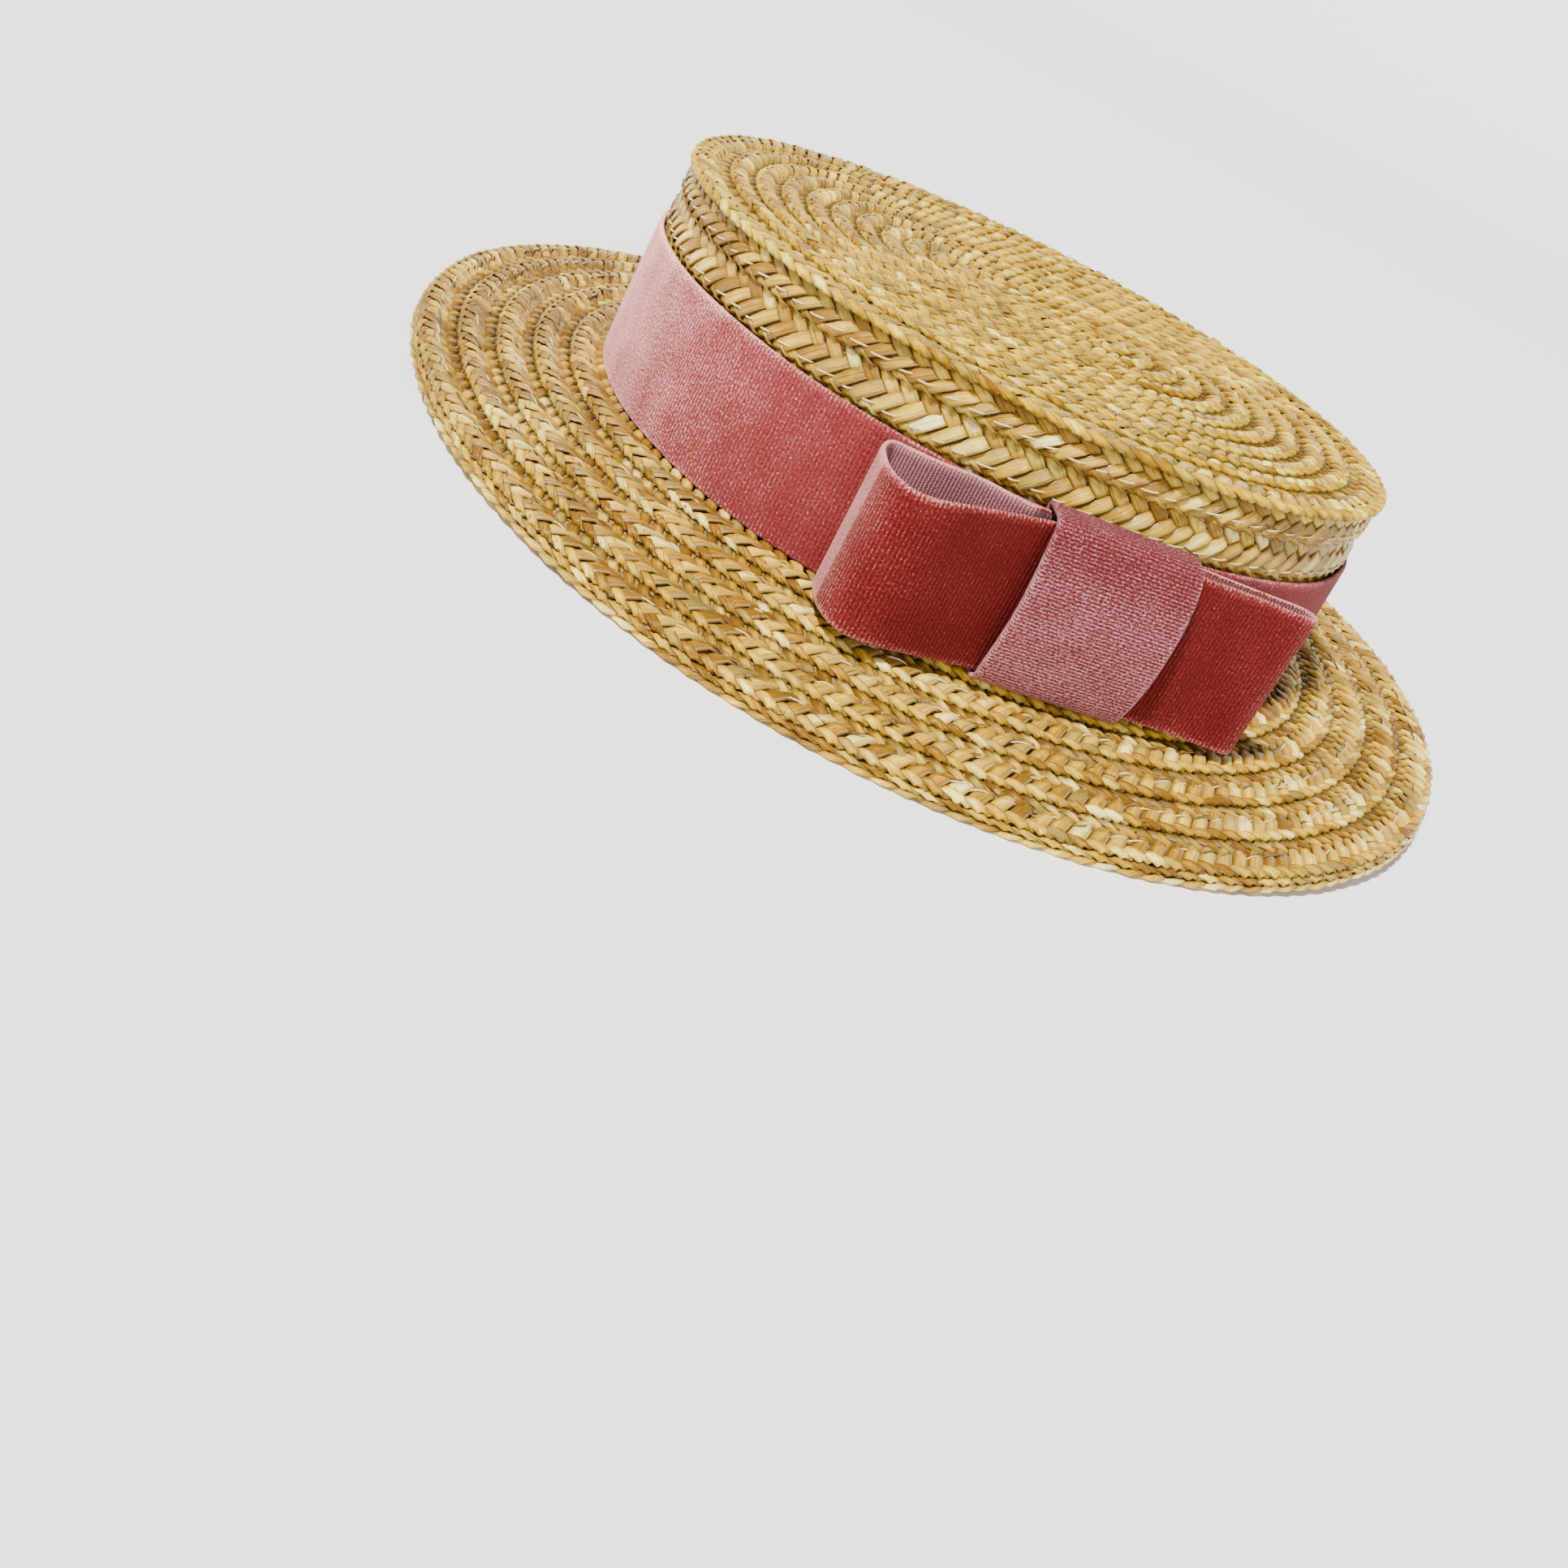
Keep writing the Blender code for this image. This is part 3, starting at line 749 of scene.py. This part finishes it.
for upper, lower in wall_rows[:SEWN_WALL_ROWS]:
    stitches.row(on_wall, lower - 2.3 * MM, 0.4 * MM, **WALL_STITCHES)
    wisps.row(on_wall, lower - 2.5 * MM, 0.3 * MM, **WALL_WISPS)
for inner, outer in brim_rows:
    seam_line = inner + STITCHED * (outer - inner)
    stitches.row(on_brim, seam_line, 0.2 * MM, **BRIM_STITCHES)
    wisps.row(on_brim, seam_line - 0.3 * MM, 0.25 * MM, **BRIM_LONG_WISPS)
    wisps.row(on_brim, seam_line + 0.9 * MM, 0.25 * MM, **BRIM_SHORT_WISPS)
wisps.row(on_tip, -TIP_EDGE_ROW * 0.55, 0.1 * MM, **TIP_WISPS)
stitches.make()
wisps.make()


# Velvet. A point's "weave" is its place along the ribbon, its place across it, and its painted sheen, for how
# its pile
# catches the light: 0 is deep in colour and 1 is pale.
def velvet(name, deep, middle, sheen_colour, rib=0.97 * MM, ribbing=0.1, glint_strength=0.48, grain=1.35):
    """Velvet with wavering ribs this far apart. grain is how much its pile differs from point to point. Its
    colour follows a painted sheen, with painted glints on the pile's tips.
    """
    look = Finish(name)
    weave = look.attribute("weave").outputs["Vector"]
    part = look.node("SeparateXYZ", Vector=weave).outputs
    dots = look.noise(look.stretched(weave, (2100, 1400, 0)), 1.0, 2.0, 0.75)
    tips = look.noise(look.stretched(weave, (2200, 1500, 0)), 1.0, 1.0, 0.5)
    tips = look.node("MapRange", Value=tips, From_Min=0.55, From_Max=0.72).outputs[0]
    clouds = look.noise(look.stretched(weave, (130, 90, 0)), 1.0, 3.0, 0.55)
    waver = look.noise(look.stretched(weave, (300, 500, 0)), 1.0, 1.0, 0.5)
    waver = look.math("MULTIPLY", waver, 2.4)
    ribs = look.math("SINE", look.math("MULTIPLY_ADD", part["X"], 2 * pi / rib, waver))
    # Painted sheen from the weave, with the pile's clouds, grain and ribs on it
    pile_and_sheen = look.math("ADD", part["Z"], look.swing(clouds, 0.42))
    pile_and_sheen = look.math("ADD", pile_and_sheen, look.swing(dots, grain))
    # Painted glints on the pile's tips, brighter where the painted sheen is
    glint = look.math("MULTIPLY", tips, look.math("MULTIPLY", look.math("ADD", part["Z"], 0.25), glint_strength))
    pile_and_sheen = look.math("ADD", pile_and_sheen, glint)
    pile_and_sheen = look.math("ADD", pile_and_sheen, look.math("MULTIPLY", ribs, ribbing), clamp=True)
    colour = look.ramp(pile_and_sheen, ((0.0, deep), (0.45, middle), (1.0, sheen_colour)))
    height = look.math("ADD", dots, look.math("MULTIPLY", ribs, ribbing * 2))
    return look.shade(
        Base_Color=colour,
        Roughness=0.85,
        Specular_IOR_Level=0.15,
        Sheen_Weight=0.14,
        Sheen_Roughness=0.3,
        Sheen_Tint=(0.95, 0.60, 0.62, 1),
        Normal=look.bump(height, 0.7, 0.5 * MM),
    )


BACK_RIB, BACK_RUNG = 0.8 * MM, 0.55 * MM
BACK_STOPS = ((0.2, (0.06, 0.012, 0.015)), (0.5, (0.26, 0.065, 0.078)), (0.85, (0.58, 0.27, 0.29)))


def backing(name):
    """The back of the ribbon: fine dark ribs across a mauve ground."""
    look = Finish(name)
    weave = look.attribute("weave").outputs["Vector"]
    part = look.node("SeparateXYZ", Vector=weave).outputs
    ribs = look.math("SINE", look.math("MULTIPLY", part["X"], 2 * pi / BACK_RIB))
    rungs = look.math("SINE", look.math("MULTIPLY", part["Y"], 2 * pi / BACK_RUNG))
    grain = look.noise(look.stretched(weave, (2400, 2400, 0)), 1.0, 2.0, 0.6)
    value = look.math("ADD", look.math("MULTIPLY", ribs, 0.22), look.math("MULTIPLY", rungs, 0.1))
    # Painted sheen from the weave's third value
    back_sheen = look.math("MULTIPLY_ADD", part["Z"], 0.5, -0.33)
    value = look.math("ADD", look.math("ADD", value, grain), back_sheen)
    colour = look.ramp(value, BACK_STOPS)
    bump = look.bump(value, 0.5, 0.3 * MM)
    return look.shade(Base_Color=colour, Roughness=0.7, Sheen_Weight=0.2, Normal=bump)


# Each velvet's colours: deep, middle, and the pale colour of its painted sheen
BAND_COLOURS = ((0.14, 0.008, 0.010), (0.23, 0.041, 0.044), (0.98, 0.45, 0.44))
LOOP_COLOURS = ((0.085, 0.0012, 0.0012), (0.175, 0.017, 0.016), (0.58, 0.235, 0.228))
KNOT_COLOURS = ((0.10, 0.006, 0.008), (0.15, 0.028, 0.032), (0.47, 0.205, 0.23))
band_velvet = velvet("band_velvet", *BAND_COLOURS)
loop_velvet = velvet("loop_velvet", *LOOP_COLOURS, ribbing=0.15, grain=1.9)
knot_velvet = velvet("knot_velvet", *KNOT_COLOURS, rib=0.85 * MM, ribbing=0.22, grain=2.8)
ribbon_back = backing("ribbon_back")


ACROSS = 24  # points across a ribbon's face
BAND_SHEEN = (
    (0, 60, 120, 180, 215, 250, 275, 300, 360),
    (0.3, 0.5, 0.7, 1.0, 0.56, 0.22, 0.12, 0.14, 0.3),
)


def ribbon_section(width, thick, across=ACROSS, rounding=4):
    """(off, up) round a ribbon's rounded section, with off over the pile and up along its width."""
    half = thick / 2
    ups = np.linspace(half, width - half, across)
    turns = np.linspace(0, pi, rounding + 2)[1:-1]
    out_side = [(half, up) for up in ups]
    top = [(half * cos(turn), width - half + half * sin(turn)) for turn in turns]
    in_side = [(-half, up) for up in ups[::-1]]
    foot = [(-half * cos(turn), half - half * sin(turn)) for turn in turns]
    return np.array(out_side + top + in_side + foot), across + rounding


def band_sheen(angle):
    """Painted sheen: pale at the hat's left end, deepest in colour beside the bow, and fairly deep to the
    right of it.
    """
    return np.interp(np.degrees(np.mod(angle, 2 * pi)), *BAND_SHEEN)


def edge_highlight(up, width):
    """Painted highlight along a ribbon's two edges: 1 at the edges and 0 further in than the width."""
    return np.clip(1 - np.minimum(up, RIBBON_WIDTH - up) / width, 0, 1)


section = ribbon_section(RIBBON_WIDTH, VELVET)[0]
AROUND = 320
around = BOW_ANGLE + np.linspace(0, 2 * pi, AROUND, endpoint=False)
middle = wall_offset(BAND_FOOT + section[:, 1]) + GAP + VELVET / 2
angle_grid, off_grid = np.meshgrid(around, middle + section[:, 0], indexing="ij")
wave = 0.12 * MM * np.sin(5 * angle_grid + 1.0) + 0.08 * MM * np.sin(13 * angle_grid)
band_up = np.broadcast_to(section[:, 1], angle_grid.shape)
belly = 0.25 * MM * np.sin(pi * band_up / RIBBON_WIDTH)
band_points = oval(angle_grid, off_grid + belly, BAND_FOOT + band_up + wave)
band_length = oval_length(WALL_FLARE / 2 + GAP + VELVET / 2)
# Painted sheen round the band, with a painted highlight along its edges
pile_and_sheen = band_sheen(angle_grid) + 0.25 * edge_highlight(band_up, 1.2 * MM)
band_weave = np.stack([angle_grid * band_length / (2 * pi), band_up, pile_and_sheen], axis=-1)
band = ribbon_mesh("band_ribbon", band_points, band_weave, band_velvet)

# Bow, along the same route as in the frame's source. A route's points are shares of a loop's length and
# depth, and the painted sheen is given at places along, in millimetres, or up the knot, in half heights.
LEFT_LOOP_LENGTH, LEFT_LOOP_DEPTH = 55 * MM, 10.4 * MM
RIGHT_LOOP_LENGTH, RIGHT_LOOP_DEPTH = 49 * MM, 4.6 * MM
KNOT_WIDTH, KNOT_SLACK, KNOT_BULGE = 37.5 * MM, 0.8 * MM, 2.4 * MM
KNOT_CORNER, KNOT_BACK_CORNER = 1.9 * MM, 0.9 * MM
LEFT_LOOP_FRONT = (
    (0.34, 0.53), (0.60, 0.82), (0.80, 1.0), (0.92, 0.86), (0.985, 0.35), (1.0, -0.28), (0.985, -0.88)
)
RIGHT_LOOP = ((0.40, 0), (0.72, 0.05), (0.94, 0.04), (1.0, 0.52), (0.94, 1.0), (0.72, 0.87), (0.38, 0.91))
LEFT_FOLD_RISE, LEFT_FOLD_LEAN = 0.06, 1.6 * MM  # how much lower its top is, and how far out it leans
BEHIND_SHEEN = ((-56, -50, -40, 20, 40), (0.75, 0.65, 0.5, 0.5, 0.95))
LOOP_SHEEN = (
    (-56, -54, -50, -43, -34, -18, 18, 30, 44, 48, 50),
    (0.38, 0.27, 0.17, 0.09, 0.02, -0.04, 0.02, 0.05, 0.08, 0.28, 0.6),
)
KNOT_SHEEN = ((-1, -0.6, 0.35, 0.75, 0.95, 1.1), (0.58, 0.53, 0.48, 0.33, 0.25, 0.3))
BOW_MIDDLE = BOW_FOOT + RIBBON_WIDTH / 2
BACK_OFF = GAP + VELVET + GAP + VELVET / 2


def band_face(height):
    return wall_offset(height) + GAP + VELVET


long, wide = TIP_HALF_LENGTH + band_face(BOW_MIDDLE), TIP_HALF_WIDTH + band_face(BOW_MIDDLE)
bow_along = Vector((-long * sin(BOW_ANGLE), wide * cos(BOW_ANGLE), 0)).normalized()
bow_out = Vector((bow_along.y, -bow_along.x, 0))


def bow_points(along, off, height):
    """Points of the bow, along it from its middle and off the band's face. It leans as the wall does."""
    foot = oval(BOW_ANGLE, band_face(height), height)
    return foot + along[..., None] * np.array(bow_along) + off[..., None] * np.array(bow_out)


def band_off(along):
    """How far off the bow's straight line the band's curved face lies. It is negative."""
    angles = BOW_ANGLE + np.linspace(-1.2, 1.2, 1201)
    ahead = oval(angles, band_face(BOW_MIDDLE), 0) - oval(BOW_ANGLE, band_face(BOW_MIDDLE), 0)
    return np.interp(along, ahead @ np.array(bow_along), ahead @ np.array(bow_out))


def loop_route():
    """(along, off) of the ribbon's middle line: once round both loops, from the left loop's back layer."""
    on_band = [(-LEFT_LOOP_LENGTH * share, 2 * GAP + VELVET / 2) for share in (0.58, 0.76, 0.92)]
    points = [(-LEFT_LOOP_LENGTH * 0.36, BACK_OFF)] + [(x, band_off(x) + off) for x, off in on_band]
    for share, off in LEFT_LOOP_FRONT[::-1]:
        points += [(-LEFT_LOOP_LENGTH * share, BACK_OFF + LEFT_LOOP_DEPTH * off)]
    points += [(0, BACK_OFF + LEFT_LOOP_DEPTH * 0.33)]
    for share, off in RIGHT_LOOP[::-1]:
        points += [(RIGHT_LOOP_LENGTH * share, BACK_OFF + RIGHT_LOOP_DEPTH * off)]
    return np.array(points + [(0, BACK_OFF)])


def smooth_closed(points, steps=14):
    """(points, unit normals) along a smooth closed curve through the points."""
    before, after, second = np.roll(points, 1, 0), np.roll(points, -1, 0), np.roll(points, -2, 0)
    t = np.arange(steps)[None, :, None] / steps
    p0, p1, p2, p3 = (part[:, None, :] for part in (before, points, after, second))
    ahead, bend, twist = (p2 - p0) / 2, (2 * p0 - 5 * p1 + 4 * p2 - p3) / 2, (3 * p1 - p0 - 3 * p2 + p3) / 2
    line = (p1 + ahead * t + bend * t**2 + twist * t**3).reshape(-1, 2)
    run = (ahead + 2 * bend * t + 3 * twist * t**2).reshape(-1, 2)
    normals = np.stack([run[:, 1], -run[:, 0]], axis=-1)
    return line, normals / np.linalg.norm(normals, axis=1, keepdims=True)


route, inward = smooth_closed(loop_route())
section, back_start = ribbon_section(RIBBON_WIDTH, VELVET * 0.96)
steps_run = np.linalg.norm(np.diff(route, axis=0, append=route[:1]), axis=1)
run = np.concatenate([[0], np.cumsum(steps_run)[:-1]])
place = route[:, None, :] - inward[:, None, :] * section[None, :, 0, None]
loop_up = np.broadcast_to(section[:, 1], place.shape[:2])
lean = np.interp(place[..., 0] / MM, (-56, -48, -34, -18), (1, 0.95, 0.4, 0))
loop_rise = loop_up * (1 - LEFT_FOLD_RISE * lean)
loop_off = place[..., 1] + LEFT_FOLD_LEAN * lean * loop_up / RIBBON_WIDTH
loop_points = bow_points(place[..., 0], loop_off, BOW_FOOT + loop_rise)


def loop_sheen(along, off, up):
    """Painted sheen: pale at the left fold, turning deep to the knot. The right loop is deep, with a pale
    end.
    """
    pile_and_sheen = np.interp(along / MM, *LOOP_SHEEN)
    # Painted sheen a little paler towards the ribbon's lower edge
    pile_and_sheen += 0.1 * np.clip(1 - up / (7 * MM), 0, 1)
    behind = np.interp(along / MM, *BEHIND_SHEEN)
    # The back layer takes its own painted sheen, and both ribbon edges a painted highlight
    return np.where(off < BACK_OFF + 0.4 * MM, behind, pile_and_sheen) + 0.55 * edge_highlight(up, 1.4 * MM)


along_run = np.broadcast_to(run[:, None], loop_up.shape)
loop_weave = np.stack([along_run, loop_up, loop_sheen(place[..., 0], place[..., 1], loop_up)], axis=-1)
loops = ribbon_mesh("bow_loops_ribbon", loop_points, loop_weave, loop_velvet)
loops.data.materials.append(ribbon_back)
column = np.tile(np.arange(len(section)), len(route))
inner_face = (column >= back_start) & (column < back_start + ACROSS - 1)
loops.data.polygons.foreach_set("material_index", inner_face.astype(np.int32))


def loops_front(along):
    fronts = route[route[:, 1] > BACK_OFF + VELVET]
    return fronts[np.argmin(np.abs(fronts[:, 0] - along)), 1] + VELVET / 2


def knot_front(along):
    """How far off the band the knot's front is, inside: straight from side to side, clear of the loops."""
    half = KNOT_WIDTH / 2
    left, right = loops_front(-half), loops_front(half)
    tests = np.linspace(-half, half, 9)
    rise = max(loops_front(x) - (left + (right - left) * (x + half) / KNOT_WIDTH) for x in tests)
    return left + (right - left) * (along + half) / KNOT_WIDTH + rise + KNOT_SLACK


def knot_section(along, inset, corner_steps=6, face_steps=14):
    """(off, height) round the knot from its front foot, counter-clockwise and this far inside its face."""
    back, front = GAP + inset, knot_front(along) + VELVET - inset
    reach = RIBBON_WIDTH / 2 + KNOT_SLACK + VELVET - inset
    corners = (
        (front, -1, KNOT_CORNER, -90),
        (front, 1, KNOT_CORNER, 0),
        (back, 1, KNOT_BACK_CORNER, 90),
        (back, -1, KNOT_BACK_CORNER, 180),
    )
    points = []
    for off, side, radius, start in corners:
        radius += VELVET - inset
        middle = (off - radius if off == front else off + radius, side * (reach - radius))
        turns = np.radians(start + np.linspace(0, 90, corner_steps + 1))
        points += [(middle[0] + radius * cos(turn), middle[1] + radius * sin(turn)) for turn in turns]
        if start in (-90, 90):
            flat = reach - radius
            direction = 1 if start == -90 else -1
            points += [(off, direction * flat * (2 * i / face_steps - 1)) for i in range(1, face_steps)]
    points = np.array(points)
    ahead = (points[:, 0] - back) / (front - back)
    swell = np.where(ahead > 0.5, KNOT_BULGE * ahead * (1 - (points[:, 1] / reach) ** 2), 0)
    points[:, 0] += swell
    return points


# The ribbon's section, (along, inset), goes round the knot
half, edge_radius = KNOT_WIDTH / 2, VELVET / 2
KNOT_OUTER_LINES, KNOT_INNER_LINES = 34, 14
edge_round = [(cos(turn), sin(turn)) for turn in np.linspace(-pi / 2, pi / 2, 7)[1:-1]]
outer_line = [(x, 0) for x in np.linspace(-half + edge_radius, half - edge_radius, KNOT_OUTER_LINES)]
right_edge = [(half - edge_radius + edge_radius * c, edge_radius + edge_radius * s) for c, s in edge_round]
inner_line = [(x, VELVET) for x in np.linspace(half - edge_radius, -half + edge_radius, KNOT_INNER_LINES)]
left_edge = [(-half + edge_radius - edge_radius * c, edge_radius - edge_radius * s) for c, s in edge_round]
knot_rings = outer_line + right_edge + inner_line + left_edge
rings, knot_weave, knot_length = [], [], 0
for along, inset in knot_rings:
    ring = knot_section(along, inset)
    lengths = np.linalg.norm(np.diff(ring, axis=0, append=ring[:1]), axis=1)
    round_it = np.concatenate([[0], np.cumsum(lengths)[:-1]])
    knot_length = max(knot_length, lengths.sum())
    up = ring[:, 1] / (RIBBON_WIDTH / 2)
    # Painted sheen up the knot, with a painted highlight at its two sides
    pile_and_sheen = np.interp(up, *KNOT_SHEEN)
    pile_and_sheen = pile_and_sheen + 0.3 * np.clip(1 - (half - abs(along)) / (1.5 * MM), 0, 1)
    bowed = along * (1 - 0.035 * np.clip(np.abs(up), 0, 1) ** 5) + 0.8 * MM * (1 - up**2)
    rings.append(bow_points(bowed, ring[:, 0], BOW_MIDDLE + ring[:, 1]))
    knot_weave.append(np.stack([round_it, np.full(len(ring), along), pile_and_sheen], axis=-1))
knot = ribbon_mesh("bow_knot_ribbon", np.array(rings), np.array(knot_weave), knot_velvet)

# Camera, from the photo's outlines. FRAME, FOCAL and MIDDLE are in its pixels.
EYE = Vector((-0.0301, -0.3688, 0.1471))
FRAME, FOCAL, MIDDLE = 1932, 1728.7, (983.3, 676.2)
azimuth, elevation, roll = radians(-0.16), radians(25.2), radians(26.65)
back = Vector((sin(azimuth) * cos(elevation), -cos(azimuth) * cos(elevation), sin(elevation)))
right = Vector((0, 0, 1)).cross(back).normalized()
up = back.cross(right)
rolled_right = right * cos(roll) + up * sin(roll)
rolled_up = up * cos(roll) - right * sin(roll)
camera_data = bpy.data.cameras.new("camera")
camera = bpy.data.objects.new("camera", camera_data)
bpy.context.collection.objects.link(camera)
camera.matrix_world = Matrix((rolled_right, rolled_up, back)).transposed().to_4x4()
camera.location = EYE
camera_data.sensor_width = 36
camera_data.lens = camera_data.sensor_width * FOCAL / FRAME
camera_data.shift_x = (FRAME / 2 - MIDDLE[0]) / FRAME
camera_data.shift_y = (MIDDLE[1] - FRAME / 2) / FRAME
camera_data.clip_start, camera_data.clip_end = 0.01, 50
bpy.context.scene.camera = camera


def paper():
    look = Finish("backdrop_paper")
    grain = look.noise(look.position(), 60.0, 3.0)
    colour = look.ramp(grain, ((0.0, (0.90, 0.895, 0.90)), (1.0, (0.92, 0.915, 0.92))))
    return look.shade(Base_Color=colour, Roughness=0.9)


def bowl(floor=5.0, curve=7.0, sides=96):
    """A round floor that curves up into a wall on every side, so the tilted view has one pale ground."""
    profile = [(r, 0) for r in (0.001, 0.3, 0.8, 1.6, 3.0, floor)]
    profile += [(floor + curve * sin(a), curve * (1 - cos(a))) for a in np.radians(np.arange(4, 61, 4))]
    turn = np.linspace(0, 2 * pi, sides, endpoint=False)
    rings = [np.stack([r * np.cos(turn), r * np.sin(turn), np.full(sides, z)], axis=-1) for r, z in profile]
    data = bpy.data.meshes.new("backdrop")
    faces = grid_quads(len(profile), sides, closed=True)
    data.from_pydata(np.concatenate(rings).tolist(), [], faces.tolist())
    data.shade_smooth()
    data.materials.append(paper())
    obj = bpy.data.objects.new("backdrop", data)
    bpy.context.collection.objects.link(obj)


bowl()
HAT_MIDDLE = Vector((0, 0, 0.03))


def light(name, kind, place, strength, size, colour=(1, 1, 1)):
    """A light that points at the hat's middle. size is a disc's diameter, or a sun's angle in degrees."""
    data = bpy.data.lights.new(name, kind)
    if kind == "AREA":
        data.shape, data.size = "DISK", size
    else:
        data.angle = radians(size)
    data.energy, data.color = strength, colour
    obj = bpy.data.objects.new(name, data)
    bpy.context.collection.objects.link(obj)
    obj.location = place
    obj.rotation_mode = "QUATERNION"
    obj.rotation_quaternion = (HAT_MIDDLE - Vector(place)).to_track_quat("-Z", "Y")


light("key", "SUN", (-0.5, -0.5, 1.25), 9.2, 6, (1, 0.98, 0.93))
light("fill", "AREA", (0.6, -1.3, 0.8), 8, 0.9, (0.98, 0.99, 1))
light("back", "AREA", (-0.2, 1.2, 1.1), 3, 0.6)
world = bpy.data.worlds.new("world")
bpy.context.scene.world = world
world.use_nodes = True
world.node_tree.nodes["Background"].inputs["Color"].default_value = (0.96, 0.97, 1, 1)
world.node_tree.nodes["Background"].inputs["Strength"].default_value = 0.13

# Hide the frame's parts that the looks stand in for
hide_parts("crown")
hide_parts("brim")
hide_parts("brim_edge_braid")
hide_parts("hatband")
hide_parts("bow_loops")
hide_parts("bow_knot")
